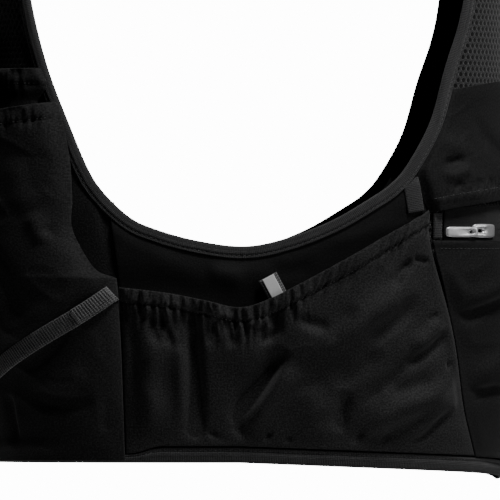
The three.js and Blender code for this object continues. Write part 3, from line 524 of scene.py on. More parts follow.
def holed(name, dark, light, hole):
    """An open mesh: round holes on a lattice of triangles, from the distance to the nearer of two sets of
    points. The holes take the hole colour, nearly black: painted shade for what is seen through them."""
    finish, tree, shader = finish_of(name, 0.8, 0.2, 0.25)
    place = cloth_place(tree)
    pitch = 3.5
    row = pitch * 1.732

    def vector(operation, first, second=(0, 0, 0)):
        return node(tree, "VectorMath", {0: first, 1: second}, operation=operation)

    def away(shift):
        moved = vector("ADD", place, (shift * pitch, shift * row, 0))
        cells = vector("MULTIPLY", moved.outputs[0], (1 / pitch, 1 / row, 0))
        part = vector("FRACTION", cells.outputs[0])
        centred = vector("SUBTRACT", part.outputs[0], (0.5, 0.5, 0))
        real = vector("MULTIPLY", centred.outputs[0], (pitch, row, 0))
        return vector("LENGTH", real.outputs[0]).outputs["Value"]

    nearest = math_node(tree, "MINIMUM", away(0), away(0.5))
    hole_rim = {"Value": nearest, "From Min": 0.98, "From Max": 1.32}
    wall = node(tree, "MapRange", hole_rim, interpolation_type="SMOOTHSTEP").outputs["Result"]
    threads = noise(tree, place, 1.6, 4, 0.75)
    share = math_node(tree, "MULTIPLY_ADD", threads, 3.4, -1.3)
    ramp = tone(tree, shader, share, dark, light)
    # Painted shade: the hole colour, nearly black, fills the holes where the mask falls toward 0.
    colour = node(tree, "MixRGB", {"Fac": wall, "Color1": (*hole, 1), "Color2": ramp.outputs["Color"]})
    tree.links.new(colour.outputs["Color"], shader.inputs["Base Color"])
    grain = relief(tree, shader, threads, 0.00012)
    relief(tree, shader, wall, 0.0012, grain)
    return finish


def smooth_solid(name, dark, light, roughness, specular, metallic=0.0):
    """A moulded, cast or printed surface: fine mottling and small scratches on the piece's own place."""
    finish, tree, shader = finish_of(name, roughness, specular, 0.0, metallic)
    place = node(tree, "TexCoord").outputs["Object"]
    mottle = noise(tree, place, 900, 5, 0.6)
    tone(tree, shader, mottle, dark, light)
    scratch = node(tree, "Mapping", {"Vector": place, "Scale": (300, 2600, 2600)}).outputs["Vector"]
    fine = noise(tree, scratch, 1.0, 3)
    depth = 0.00002
    relief(tree, shader, math_node(tree, "ADD", mottle, fine), depth)
    return finish


SHELL_CLOTH = woven("black_stretch_weave", (0.0008, 0.0008, 0.0009), (0.026, 0.026, 0.0264))
POCKET_CLOTH = woven("black_pocket_weave", (0.001, 0.001, 0.0011), (0.036, 0.036, 0.0365), sheen=0.14)
# Painted shade: the flap and the back pocket have the same weave in darker tones and with less sheen, to
# darken the back beyond what its light gives.
BACK_SHADE_CLOTH = woven("black_back_weave_painted_shade", (0.0007, 0.0007, 0.0008), (0.0185, 0.0185, 0.0188), sheen=0.08)
# Painted shade: the side panel has the same weave in much darker tones and with almost no sheen, for the
# shade it lies in behind the side pocket's mouth.
WING_SHADE_CLOTH = woven("black_wing_weave_painted_shade", (0.0005, 0.0005, 0.0006), (0.0095, 0.0095, 0.0097), sheen=0.03)
# Painted shade: the inner side of every cloth and tape has the same weave nearly black, rough and without
# sheen, for the shade inside the vest.
INSIDE_SHADE_CLOTH = woven(
    "black_inside_weave_painted_shade", (0.0002, 0.0002, 0.0002), (0.001, 0.001, 0.001),
    roughness=0.9, specular=0.05, sheen=0.0,
)
# The open mesh's last colour is the painted shade in its holes.
OPEN_MESH = holed(
    "black_open_mesh", (0.0006, 0.0006, 0.0007), (0.085, 0.085, 0.0865), (0.0002, 0.0002, 0.0002)
)
EDGE_TAPE = taped("black_folded_tape", (0.003, 0.003, 0.0031), (0.095, 0.095, 0.097))
RIBBED_TAPE = taped("black_ribbed_tape", (0.002, 0.002, 0.0021), (0.3, 0.3, 0.302), 1.45)
ZIP_CLOTH = taped("black_zip_tape", (0.001, 0.001, 0.0011), (0.022, 0.022, 0.0225), 0.6)
THREAD = taped("black_thread", (0.03, 0.03, 0.0305), (0.2, 0.2, 0.202), 0.4)
LIGHT_TAPE = smooth_solid("light_grey_stripe", (0.75, 0.75, 0.75), (0.95, 0.95, 0.95), 0.5, 0.4)
SLIDER_METAL = smooth_solid("grey_zip_metal", (0.6, 0.6, 0.61), (0.95, 0.95, 0.96), 0.35, 0.5, 0.6)
BUCKLE_PLASTIC = smooth_solid(
    "black_satin_plastic", (0.004, 0.004, 0.0045), (0.01, 0.01, 0.0105), 0.38, 0.4
)


# Panels of the body of the vest


def outer_edge(b, share, low, top, seam, ends):
    """A panel's outer edge: up its side seam for a share of its rows, then up the armhole."""
    v = mix(low, top[1], b / share)
    s, up = arm_inner(mix(*ends, clamp((b - share) / (1 - share))))
    below = b <= share
    return np.where(below, seam(v), s), np.where(below, v, np.minimum(up, SHOULDER_LINE))


def front_row(b):
    """The front panel's outer edge, from its height above the hem's tape."""
    return outer_edge(b, 0.36, TUCK, FRONT_TOP, lambda v: front_seam(v) - HALF_SEAM, (MEET_FRONT, 1))


def back_row(b):
    """The back panel's outer edge, on its left half."""
    return outer_edge(b, 0.4, BACK_FOOT, BACK_TOP, lambda v: back_seam(v) + HALF_SEAM, (MEET_BACK, 0))


def coons(a, b, low, top, left, right, corners):
    """A Coons patch: its edges mixed both ways, less its four corners mixed both ways."""
    low_left, low_right, top_left, top_right = corners
    square = mix(mix(low_left, low_right, a), mix(top_left, top_right, a), b)
    return mix(low, top, b) + mix(left, right, a) - square


def near_edge(distance, cloth_height, edge_height):
    """Cloth that thins to its edge height over the 7 mm next to a binding."""
    return mix(edge_height, cloth_height, ease((distance - TUCK) / 4))


def front_mesh(a, b):
    """Each row runs evenly from the front edge to the outer edge, with the cloth's slow rumples on both
    sides."""
    s, v = front_row(b)
    left = into((neck_edge(v), v, 1.0, 0.0), TUCK)[0]
    width = s - left
    here = mix(left, s, a)
    beside = np.minimum(a, 1 - a) * width
    thick = near_edge(np.minimum(beside, v - TUCK), MESH, EDGE)
    sway = np.maximum(0.5 * rumple(here, v, 26, 1) * ease((thick - EDGE) / 0.8), -0.3)
    return here, v, sway, thick + sway


MOUTH_LOW, MOUTH_RISE = 81, 51
SIDE_MOUTH = table(
    [(0, 0.206), (0.147, 0.145), (0.25, 0.073), (0.352, 0), (0.438, 0.075), (0.547, 0.24), (0.745, 0.565),
     (1, 1)]
)


def side_mouth(a):
    """The side pocket's opening, whose lowest point lies to the front."""
    return MOUTH_LOW + MOUTH_RISE * SIDE_MOUTH(a)


WING_HEIGHT = 110
# Folds, here and below: their line on the pattern, their height and their breadth on either side
WING_FOLDS = [
    ([(-18, 99), (-8, 98), (2, 94)], 1.5, 5),
    ([(12, 106), (24, 100), (40, 103)], -0.9, 5),
    ([(-50, 108), (-30, 100), (-12, 88)], 0.8, 7),
    ([(40, 116), (60, 118), (85, 128)], 0.9, 4),
]


def wing_panel(a, b):
    """The cloth under the arm, a Coons patch between the two side seams, the hem and the armhole."""
    t = mix(MEET_FRONT, MEET_BACK, a)
    ts, tv = arm_inner(t)
    lv, rv = mix(TUCK, FRONT_TOP[1], b), mix(BACK_FOOT, BACK_TOP[1], b)
    l0, r0 = front_seam(TUCK), back_seam(BACK_FOOT)
    bs = mix(l0, r0, a)
    s = coons(a, b, bs, ts, front_seam(lv), back_seam(rv), (l0, r0, FRONT_TOP[0], BACK_TOP[0]))
    v = coons(a, b, hem(bs) + TUCK, tv, lv, rv, (TUCK, BACK_FOOT, FRONT_TOP[1], BACK_TOP[1]))
    s = s + mix(HALF_SEAM, -HALF_SEAM, a)
    edge = ease(np.minimum(b, 1 - b) * WING_HEIGHT / 12)
    above = v - side_mouth(a)
    sway = (1.2 * rumple(s, v, 24, 2) + 1.4 * folds(s, v, WING_FOLDS) + 2.4 * ease(above / 17)) * edge
    low = np.maximum(sway * 0.6, -0.5)
    return s, v, low, low + WING


NAPE_HEIGHT = 310.4


def nape_edge(a):
    """The back's neckline, a quarter ellipse on the pattern."""
    turn = clamp(a) * np.pi / 2
    drop = APEX - NAPE_HEIGHT
    s = BACK - (BACK - NECK_BACK) * np.cos(turn)
    v = APEX - drop * np.sin(turn)
    ts, tv = (BACK - NECK_BACK) * np.sin(turn), -drop * np.cos(turn)
    run = np.hypot(ts, tv)
    return s, v, tv / run, -ts / run


ARM_TOP = arm_inner(0.0)[0]
NAPE_TOP = into(nape_edge(0.0), NAPE_TUCK)[0]
NAPE_MIDDLE = into(nape_edge(1.0), NAPE_TUCK)[1]


def back_place(a, b):
    """The back's left half, a Coons patch between seam and armhole, the middle, the hem and the shoulder
    and nape."""
    share = 0.36
    ns, nv = into(nape_edge((a - share) / (1 - share)), NAPE_TUCK)
    ts = np.where(a <= share, mix(ARM_TOP, NAPE_TOP, a / share), ns)
    tv = np.where(a <= share, SHOULDER_LINE, nv)
    w = b**3
    ls, lv = back_row(b)
    l0s, l0v = back_row(np.zeros_like(b))
    l1s, l1v = back_row(np.ones_like(b))
    r0v = hem(BACK) + TUCK
    rv = mix(r0v, NAPE_MIDDLE, (lv - l0v) / (SHOULDER_LINE - l0v))
    bs = mix(l0s, BACK, a)
    s = coons(a, w, bs, ts, ls, BACK, (l0s, BACK, l1s, BACK))
    v = coons(a, w, hem(bs) + TUCK, tv, lv, rv, (l0v, r0v, l1v, NAPE_MIDDLE))
    return s, v


BACK_HALF, BACK_LENGTH = 150, 330


def back_half(a, b):
    """The back mesh's left half, thinner next to its bindings: at the neck by the distance from the
    neckline."""
    s, v = back_place(a, b)
    nape = placed(*nape_edge(np.linspace(0, 1, 60))[:2], 0) * 1000
    here = placed(s, v, 0) * 1000
    away = np.full(s.shape, 1e9)
    for point in nape:
        away = np.minimum(away, np.linalg.norm(here - point, axis=-1))
    beside = np.minimum(a * BACK_HALF, np.minimum(b * BACK_LENGTH, away - TUCK))
    thick = near_edge(np.minimum(beside, 30), MESH, EDGE)
    sway = np.maximum(0.6 * rumple(s, v, 30, 3), -0.3) * ease((thick - EDGE) / 0.8)
    return s, v, sway, thick + sway


# Pockets

SIDE_WIDTH = 163
STITCH_LINE = 7.5
# The height where a pocket's lower corners are read on the seams
SEAM_READ = 10
SIDE_FOLDS = [
    ([(-25.8, 88), (-24.4, 58.8), (-23.2, 35.4), (-23.8, 0)], -3.4, 3.6, 6.5),
    ([(-31, 78), (-30.5, 50), (-30, 12)], 1.3, 5, 4),
    ([(-46, 74), (-47.3, 45), (-49.3, 8)], 1.8, 6, 8),
    ([(-58, 76), (-57, 55), (-58.5, 30)], -1.0, 4, 4),
    ([(-46.5, 80), (-45, 70), (-42.3, 60)], -0.9, 2.2, 3.4),
    ([(-41.1, 79), (-38.5, 70), (-35.2, 58)], -1.0, 2.2, 3.6),
    ([(-34, 79), (-31.6, 66), (-31, 56)], -0.7, 2, 3.2),
    ([(-16, 77), (-14.8, 66), (-14, 58)], -0.6, 2.2, 3.2),
    ([(-7.2, 77), (-5.8, 68), (-3, 59)], -0.9, 2.3, 3.6),
    ([(24, 60), (13, 42), (3, 30), (-4, 20)], -3.8, 3.6, 6),
    ([(-1.8, 27), (-1, 18), (4, 8)], -0.9, 2.8, 3.6),
    ([(29, 54), (16, 34), (6, 16)], 1.7, 6, 4),
    ([(17.4, 84), (19.4, 71.5), (17.5, 67), (9, 62)], -2.0, 2.8, 4.4),
    ([(9, 76), (8, 70)], 1.0, 3.5, 3.5),
    ([(29, 77), (36, 72), (47, 70)], -0.9, 3.4, 3),
    ([(90.8, 104.5), (82.2, 88), (66, 75), (45.6, 61.5), (30, 54)], 2.6, 7, 8),
    ([(94, 88), (80, 74), (62, 62)], -1.5, 6, 8),
    ([(90.2, 106), (83.5, 99.5), (77.9, 91.5)], -1.6, 1.8, 2.6),
    ([(89.5, 106.8), (94, 106), (100.4, 105)], -1.3, 1.3, 1.8),
    ([(124, 44), (106, 35), (92, 30), (73, 21), (60, 12)], 2.6, 7, 7),
    ([(74, 60), (62, 48), (48, 40)], -1.2, 5, 8),
    ([(60, 82), (52, 72), (46, 60)], -0.9, 3, 4),
    ([(40, 74), (34, 62), (26, 50)], 0.9, 5, 6),
    ([(104, 45), (92, 39), (76, 37)], -1.1, 4, 6),
    ([(94, 56), (84, 46), (72, 36), (62, 30)], -1.1, 3.4, 4.6),
    ([(119, 29), (110, 21.5), (100, 12), (90, 6)], -1.9, 3, 4.4),
    ([(126, 36), (111, 27), (98, 16), (86, 9)], 1.4, 4, 4.4),
    ([(86, 50), (98, 56.5), (106, 62), (114, 70)], -1.7, 3.2, 4.4),
    ([(88, 60), (99, 66), (109, 76)], 1.1, 4.2, 4.2),
    ([(99, 73), (106, 78)], -0.8, 2, 2),
    ([(112, 50), (120, 52)], -0.9, 2, 2.6),
    ([(57, 38), (55, 28), (53, 15)], -1.5, 3.4, 5),
    ([(34, 40), (44, 22)], 1.0, 8, 8),
    ([(-18, 17), (-11, 12), (-4, 11)], -1.1, 2, 2),
    ([(16, 17), (14, 9)], -1.1, 1.8, 2),
    ([(26, 15), (27, 9)], -0.9, 1.6, 2),
    ([(66, 18), (62, 8)], -0.8, 2, 2.4),
    ([(82, 17), (76, 8)], -0.7, 2, 2.4),
]


def hem_width(s):
    """The hem tape's width, narrower on the front."""
    return mix(HEM_BAND, HEM_BAND_NARROW, ease((-42 - s) / 18))


def side_pocket_foot(a):
    """The side pocket's lower edge, just above the hem tape."""
    s = mix(front_seam(SEAM_READ), back_seam(SEAM_READ), a)
    return hem(s) + hem_width(s) + 2 * CLEAR


def side_pocket_place(a, b):
    """Rows from the lower edge to the opening and from seam to seam, with the distances from both
    edges."""
    top, bottom = side_mouth(a), side_pocket_foot(a)
    v = mix(bottom, top, b)
    return mix(front_seam(v), back_seam(v), a) + mix(0.12, -0.12, a), v, top - v, v - bottom


def side_body(a, b):
    """How far the side pocket stands off: a half circle's height across, flatter to the hem."""
    return 8.6 * arch(a) * ease(0.15 + 0.85 * b) ** 0.7


def mouth_gathers(s, depth, a):
    """Gathers under the elastic: waves across the mouth, close and deep at the front and fine and slanted
    at the back, strongest at the stitch line and dying out below it at uneven lengths."""
    far = 2.5 * rumple(s, depth, 14, 1)
    deep = 1.9 * rumple(s + far, depth * 0.16, 2.5, 2) + 0.9 * rumple(s - far, depth * 0.2, 1.3, 3)
    length = 5 + 8 * (0.5 + 0.5 * rumple(s, 0 * s, 4.3, 4))
    below = bell(np.maximum(depth - STITCH_LINE, 0) / length)
    front = ease((0.62 - a) / 0.14) * ease(a / 0.03)
    slant = rumple(s * 0.86 + depth * 0.5, (s * 0.5 - depth * 0.86) * 0.2, 1.7, 0) * 1.5
    back = ease((a - 0.44) / 0.14) * ease((1 - a) / 0.03) * bell(np.maximum(depth - 8.5, 0) / 4.5)
    return 1.15 * deep * below * front + 0.85 * slant * back * (0.8 + 0.5 * rumple(s, 0 * s, 9, 5))


def side_pocket(a, b):
    """The side pocket's body with its folds, rumples and gathers, which fade to its edges, a tube for the
    elastic along its mouth, a groove at the stitch line and one at each side seam."""
    s, v, depth, height = side_pocket_place(a, b)
    body = side_body(a, b)
    edges = ease(a / 0.05) * ease((1 - a) / 0.05) * ease(height / 9)
    shape = 2.1 * folds(s, v, SIDE_FOLDS) * edges * ease((depth - 2) / 6)
    shape = shape + (1.3 * rumple(s, v, 19, 0) + 0.4 * creases(s, v, 16, 3, 0.7)) * edges
    groove = -0.75 * bell((depth - STITCH_LINE) / 0.9)
    tube = 0.55 * arch(clamp(depth / 7.2))
    seam = -bell(a * SIDE_WIDTH / 1.4) - bell((1 - a) * SIDE_WIDTH / 1.4)
    room = clamp(body / 2.2)
    shape = shape + groove + mouth_gathers(s, depth, a) + 0.8 * seam
    low = WING + CLEAR + np.maximum(body + shape * room, 0)
    return s, v, low, low + mix(FABRIC, 1.6, ease((7.6 - depth) / 1.2)) + tube


FLASK_FOOT, FLASK_TOP, FLASK_BEND = 50, 206, 188
FRONT_HEIGHT = 187
# The depth of the stitch line under a front pocket's band, and the height where the open mesh begins
BAND_STITCH = 8
PLAIN_TOP = 203
FRONT_SIDE = table(
    [(97, 66.4), (100, 74.1), (108, 80.3), (122.8, 87.4), (139, 87.2), (160.3, 88.8), (184.8, 94.3),
     (190, 97)]
)


def front_right(v):
    """The outer front pocket's side edge: the side seam below and its own line above."""
    return np.where(v < 97, front_seam(v) - CLEAR, -FRONT_SIDE(v))


def front_left(v):
    """The outer front pocket's edge beside the open front."""
    return neck_edge(v) + 15


def flask_left(v):
    """The inner front pocket's edge beside the open front."""
    return neck_edge(v) + 20


def flask_right(v):
    """The inner front pocket's side edge, which eases to a straight end at its top."""
    past = v - FLASK_BEND
    reach = -FRONT_SIDE(np.minimum(v, FLASK_BEND)) - 0.55 * np.maximum(past, 0)
    return mix(-107, reach, ease(past / 12))


def flask_low(s, v):
    """The inner pocket's inside: over the mesh, over the binding at its side, and bulging between as a
    half circle."""
    left = flask_left(v)
    a = clamp((s - left) / (flask_right(v) - left))
    rise = ease((v - FLASK_FOOT) / 50)
    return mix(MESH + CLEAR, OVER + CLEAR, ease(a * 3 - 2)) + 8.2 * arch(a) * rise


def band_gathers(s, depth, layer):
    """Fine upright gathers of a pocket's elastic band."""
    wave = 1.3 * rumple(s, depth * 0.2, 2.1, layer) + 0.8 * rumple(s, depth * 0.2, 1.2, layer + 1)
    return 0.95 * wave * bell(np.maximum(depth - STITCH_LINE, 0) / 5) * ease(depth / 1.5)


def flask_pocket(a, b):
    """The inner pocket's band with its gathers, over soft rumples."""
    v = mix(FLASK_FOOT, FLASK_TOP, b)
    s = mix(flask_left(v), flask_right(v), a)
    depth = FLASK_TOP - v
    groove = 0.5 * bell((depth - BAND_STITCH) / 0.9)
    shape = band_gathers(s, depth, 3) + 0.5 * rumple(s, v, 16, 4) - groove
    room = ease(np.minimum(a, 1 - a) * 12) * ease(b * 20)
    low = flask_low(s, v) + (shape + 0.3) * room
    return s, v, low, low + mix(FABRIC, 1.5, ease((8.6 - depth) / 1.2)) + 0.4 * arch(clamp(depth / 7.6))


FRONT_FOLDS = [
    ([(-97.5, 121.8), (-91, 121), (-85.5, 119.6), (-81.6, 116.5)], -2.4, 1.7, 3.4),
    ([(-81.6, 116.5), (-78.2, 110.7), (-74.5, 104.4), (-69.8, 98.7)], -1.1, 1.5, 3),
    ([(-104, 131), (-100, 122), (-96, 113)], 1.9, 5, 4),
    ([(-120.9, 112), (-114.1, 92.7), (-109.3, 69.2)], -1.8, 3, 6),
    ([(-127, 96), (-120, 80), (-117, 62)], 1.6, 7, 5),
    ([(-110.5, 37), (-100, 33), (-90, 31.6), (-76.1, 33.4)], -2.4, 3.4, 5),
    ([(-71.3, 33.5), (-68.2, 28.5), (-69.2, 21), (-73.8, 16.6)], -1.8, 2.2, 3.4),
    ([(-104, 45), (-92, 43), (-78, 46)], 1.3, 6, 4),
    ([(-124.6, 37), (-125, 24), (-124.2, 10)], -1.6, 2, 3),
    ([(-97, 165), (-101, 150), (-99, 138)], -1.2, 6, 8),
    ([(-112, 160), (-108, 142), (-110, 128)], 1.1, 7, 7),
    ([(-86, 75), (-95, 60), (-112, 48)], -1.6, 2.6, 4),
    ([(-160, 150), (-150, 120), (-158, 90)], -1.6, 7, 10),
    ([(-185, 140), (-178, 100), (-186, 60)], 1.4, 10, 8),
    ([(-150, 60), (-165, 40), (-190, 30)], -1.5, 5, 7),
]


def front_pocket_low(s, v):
    """The outer pocket's inside: a bulge as a half circle's height, and never inside the inner pocket."""
    left, right = front_left(v), front_right(v)
    a = clamp((s - left) / (right - left))
    base = mix(MESH + CLEAR, OVER + CLEAR, np.maximum(ease(a * 4 - 3), ease((14 - v) / 6)))
    own = base + 17.5 * arch(a) ** 0.9 * ease((v + 12) / 130)
    within = (v > 38) & (s < flask_right(v) + 12)
    return np.where(within, np.maximum(own, flask_low(s, v) + 1.5 + 2 * CLEAR), own)


def front_place(a, b):
    """Rows from the front edge to the side edge, which tilt more toward the top."""
    foot, top, tilt = 1, 188.2, 0.155
    row = mix(foot, top, b)
    right = front_right(row)
    s = mix(front_left(row), right, a)
    return s, row + tilt * (s - right) * b**2


def front_shape(s, v):
    """Folds and rumples of the outer front pocket, puffed above the side strap."""
    qs, qv = smooth_line(SIDE_STRAP, 10)(np.linspace(0, 1, 60))
    above = np.interp(s, qs[::-1], qv[::-1])
    puffed = 1.9 * bell((v - above - 11) / 6.5) * ease((-s - 66) / 8)
    soft = rumple(s, v, 22, 5) + 0.8 * creases(s, v, 17, 1, -0.8)
    return 1.6 * folds(s, v, FRONT_FOLDS) + soft + puffed


SIDE_STRAP = [(-65, 88.4), (-84.5, 74.4), (-130.8, 47.9), (-170, 26.3), (-203, 9.5)]


def front_pocket(a, b):
    """The outer pocket's body with its folds below the gathered band, both fading to its edges."""
    s, v = front_place(a, b)
    depth = (1 - b) * FRONT_HEIGHT
    room = ease(np.minimum(a * 120, (1 - a) * 90) / 9) * ease(b * FRONT_HEIGHT / 10)
    shape = front_shape(s, v) * ease((depth - 6) / 8)
    band = band_gathers(s, depth, 2) - 0.6 * bell((depth - BAND_STITCH) / 0.9)
    low = front_pocket_low(s, v) + np.maximum(shape + 0.6, -0.4) * room * 0.8 + band * room
    return s, v, low, low + mix(FABRIC, 1.5, ease((8.6 - depth) / 1.2)) + 0.45 * arch(clamp(depth / 7.6))


# Back pocket, zip and flap

FLAP_LOW, FLAP_HIGH = 130.5, 195.5
FLAP_HEIGHT = FLAP_HIGH - FLAP_LOW


def zip_line(s):
    """The height of the zip's teeth, rising a little to the back."""
    return 121 + 3 * ease((mid(s) - 105) / 150)


def back_low(s, v):
    """The back pocket's inside: close to the mesh at the seam and fuller to the middle and to the top."""
    full = ease((mid(s) - back_seam(np.minimum(v, 150))) / 35) * ease((v + 15) / 60)
    return MESH + CLEAR + 1.9 * ease((v - 78) / 20) + 5 * full


BACK_HEIGHT = 108
BACK_FOLDS = [
    ([(113, 76.5), (127.4, 78.4), (147.6, 84.2), (175, 90)], -2.2, 2.6, 5),
    ([(116, 84), (132, 88), (150, 96)], 1.5, 5, 5),
    ([(124.2, 33.2), (134.6, 36.7), (153, 38.5), (180, 36)], -2.0, 2.4, 4.6),
    ([(128, 44), (145, 50), (166, 66)], 1.9, 6, 8),
    ([(107, 103), (114, 94), (122, 86)], 0.9, 4, 6),
    ([(190, 80), (205, 55), (225, 40)], -1.8, 4, 7),
    ([(230, 95), (240, 60), (236, 30)], 1.6, 9, 9),
]


def back_pocket_half(a, b):
    """Rows from above the hem to under the zip, with folds and rumples that fade to the edges."""
    s0 = mix(back_seam(SEAM_READ), BACK, a)
    low_v = hem(s0) + HEM_BAND + CLEAR
    corner = 102.6
    high_v = zip_line(mix(corner, BACK, a)) - 5
    v = mix(low_v, high_v, b)
    s = mix(back_seam(v) + 0.12, BACK, a)
    room = ease((s - back_seam(v)) / 8) * ease(b * BACK_HEIGHT / 8) * ease((1 - b) * BACK_HEIGHT / 7)
    shape = (2 * folds(s, v, BACK_FOLDS) + 1.1 * rumple(s, v, 24, 1) + 0.8 * creases(s, v, 15, 2)) * room
    low = np.maximum(back_low(s, v) + np.maximum(shape, -2.5) * 0.9, MESH + CLEAR)
    return s, v, low, low + FABRIC + 0.5 * bell((high_v - v - 1.5) / 1.5)


def zip_half(a, b):
    """The zip's tape, with teeth as a wave along two bell-shaped rows and grooves between and beside
    them."""
    start, below, above = 108.6, -7.6, 13
    s = mix(start, BACK, a)
    v = zip_line(s) + mix(below, above, b)
    up = v - zip_line(s)
    teeth = 0.45 * bell((np.abs(up) - 1.1) / 0.75) * (0.55 + 0.45 * np.cos(2 * np.pi * s / 1.5))
    groove = -0.35 * bell(up / 0.4) - 0.3 * bell((np.abs(up) - 3.4) / 0.5)
    off = back_low(s, v) - 2 * CLEAR
    return s, v, off - TAPE, off + teeth + groove


def flap_bottom(s):
    """The flap's lower edge, rising from the side to the back and levelling out."""
    return FLAP_LOW + 12 * (1 - np.exp(-(s - 101) / 50))


def flap_top(s):
    """The flap's upper edge, rising in the same way."""
    return FLAP_HIGH + 12 * (1 - np.exp(-(s - 117) / 70))


def flap_left():
    """The flap's side edge along the armhole, as a function of the height."""
    t = np.linspace(MEET_BACK, 0.12, 200)
    s, v = arm_inner(t, BINDING - 2)
    return lambda h: np.interp(h, v, s)


ARM_UP = flap_left()
FLAP_FOLDS = [
    ([(107, 158.5), (112, 156.5), (118.5, 160)], -1.1, 2.2, 3.4),
    ([(106, 147.5), (114, 151.5), (124, 154.5)], 1.2, 3.6, 3.6),
    ([(109, 172), (116, 164), (126, 166)], 0.9, 5, 5),
    ([(128, 182), (140, 168), (158, 160)], -1.0, 4, 6),
    ([(160, 150), (175, 165), (200, 172)], 1.0, 6, 7),
    ([(112, 142), (116, 147)], -0.8, 2, 2.4),
    ([(122, 143), (127, 149)], -0.8, 2, 2.4),
    ([(132, 144.5), (136, 149)], -0.7, 2, 2.4),
]


def flap_half(a, b):
    """The flap, off the mesh more toward its lower edge, with slanted puckers along its stitch line,
    folds and rumples, and its side edge tucked into the armhole's tape."""
    row = mix(FLAP_LOW, FLAP_HIGH, b)
    seam = back_seam(np.minimum(row, 158)) + CLEAR
    left = mix(seam, ARM_UP(np.maximum(row, 152)), ease((row - 146) / 14))
    s = mix(left, BACK, a)
    v = mix(flap_bottom(s), flap_top(s), b)
    near = 1 - ease((b - 0.05) / 0.8)
    off = MESH + CLEAR + (back_low(s, 140) - MESH) * near
    above = v - flap_bottom(s)
    wobble = 1.5 * rumple(s, v, 12, 4)
    wave = np.cos(2 * np.pi * (s - 0.35 * above + wobble) / 4.6)
    pucker = 0.75 * wave * bell((above - STITCH_LINE) / 3.4)
    groove = -0.5 * bell((above - STITCH_LINE) / 0.9)
    room = ease((s - left) / 7) * ease((1 - b) * FLAP_HEIGHT / 8)
    shape = 1.8 * folds(s, v, FLAP_FOLDS) + rumple(s, v, 20, 2) + 0.6 * creases(s, v, 13, 4)
    shape = shape * ease(above / 6)
    low = off + (shape + pucker + groove) * room + 0.35
    high = low + FABRIC + 0.35 * ease((8.5 - above) / 1.2)
    under = ease((s - left) / 4.5)
    return s, v, mix(1.02, low, under), mix(1.58, high, under)


def cloth_piece(cad_node, counts, shape, spans, slot, finish, held, both=True, rim=None):
    """A cloth panel on a grid, shaped by its flat size in mm; both says that the right side has one too.
    rim is the breadth of its rounded edge in mm, wider on the gathered pockets."""
    fine = 1.0
    rim = rim or (0.7 if held == "gathered" else 0.5)
    columns, rows = (spread(int(count * fine), span, rim) for count, span in zip(counts, spans))
    points, faces, uv = cloth(columns, rows, shape, spans)
    pieces = place_piece(f"{cad_node}_cloth", points, faces, uv, finish, cad_node, both)
    # The inner side's faces take the inside weave, nearly black: painted shade for the inside of the vest.
    inside = np.zeros(len(faces), np.int32)
    inside[: (len(columns) - 1) * (len(rows) - 1)] = 1
    for piece in pieces:
        piece.data.materials.append(INSIDE_SHADE_CLOTH)
        piece.data.polygons.foreach_set("material_index", inside)
    return pieces


def plain_below(piece, height):
    """Gives the faces below a height on the pattern the plain cloth, where only the top is open mesh."""
    mesh = piece.data
    mesh.materials.append(SHELL_CLOTH)
    uv = np.zeros(len(mesh.loops) * 2, np.float32)
    mesh.uv_layers["cloth"].data.foreach_get("uv", uv)
    low = uv.reshape(-1, 4, 2)[:, :, 1].mean(1) < height
    slots = np.zeros(len(mesh.polygons), np.int32)
    mesh.polygons.foreach_get("material_index", slots)
    mesh.polygons.foreach_set("material_index", np.where(low & (slots == 0), 2, slots).astype(np.int32))


def place_cloths():
    """Puts the cloth panels and pockets in, at about 0.6 to 1.5 mm a grid step: for each its CAD node,
    grid counts, shape, spans in mm, slot, finish and how it is held, whether it is on both sides, and its
    rim in mm."""
    back, flap = across_back(back_half), across_back(flap_half)
    pouch, zips = across_back(back_pocket_half), across_back(zip_half)
    flask_height = FLASK_TOP - FLASK_FOOT
    wing = (SIDE_WIDTH, WING_HEIGHT)
    rows = [
        ("back_mesh", (120, 150), back, (250, BACK_LENGTH), "mesh", OPEN_MESH, "stretched", False),
        ("front_mesh", (60, 160), front_mesh, (90, 400), "mesh", OPEN_MESH, "stretched"),
        ("side_panel", (130, 80), wing_panel, wing, "fabric", WING_SHADE_CLOTH, "stretched"),
        ("side_pocket", (310, 140), side_pocket, (SIDE_WIDTH, 95), "fabric", POCKET_CLOTH, "gathered"),
        ("flask_pocket", (120, 100), flask_pocket, (100, flask_height), "fabric", SHELL_CLOTH, "gathered"),
        ("front_pocket", (170, 190), front_pocket, (130, FRONT_HEIGHT), "fabric", SHELL_CLOTH, "gathered"),
        ("back_flap", (300, 70), flap, (300, FLAP_HEIGHT), "fabric", BACK_SHADE_CLOTH, "stretched", False),
        ("back_pocket", (240, 90), pouch, (270, BACK_HEIGHT), "fabric", BACK_SHADE_CLOTH, "stretched", False),
        ("zip_tape", (500, 30), zips, (270, 20.6), "webbing", ZIP_CLOTH, "stretched", False, 0.4),
    ]
    for cad_node, *details in rows:
        pieces = cloth_piece(cad_node, *details)
        if cad_node == "front_mesh":
            for piece in pieces:
                plain_below(piece, PLAIN_TOP)
    for name, seam, top in (("front", front_seam, FRONT_TOP[1]), ("back", back_seam, BACK_TOP[1])):
        height = np.linspace(4, top + 1, 40)
        line = smooth_line(np.stack([seam(height), height], -1))
        webbing(f"{name}_seam_tape", None, line, 7, 90, seam_heights, "binding", EDGE_TAPE, both=True)


# Bindings


FOLD_STEPS = 11
# Points of the tape's section that its inner cloth begins and ends with
LINED_FROM, LINED_TO = 18, 44


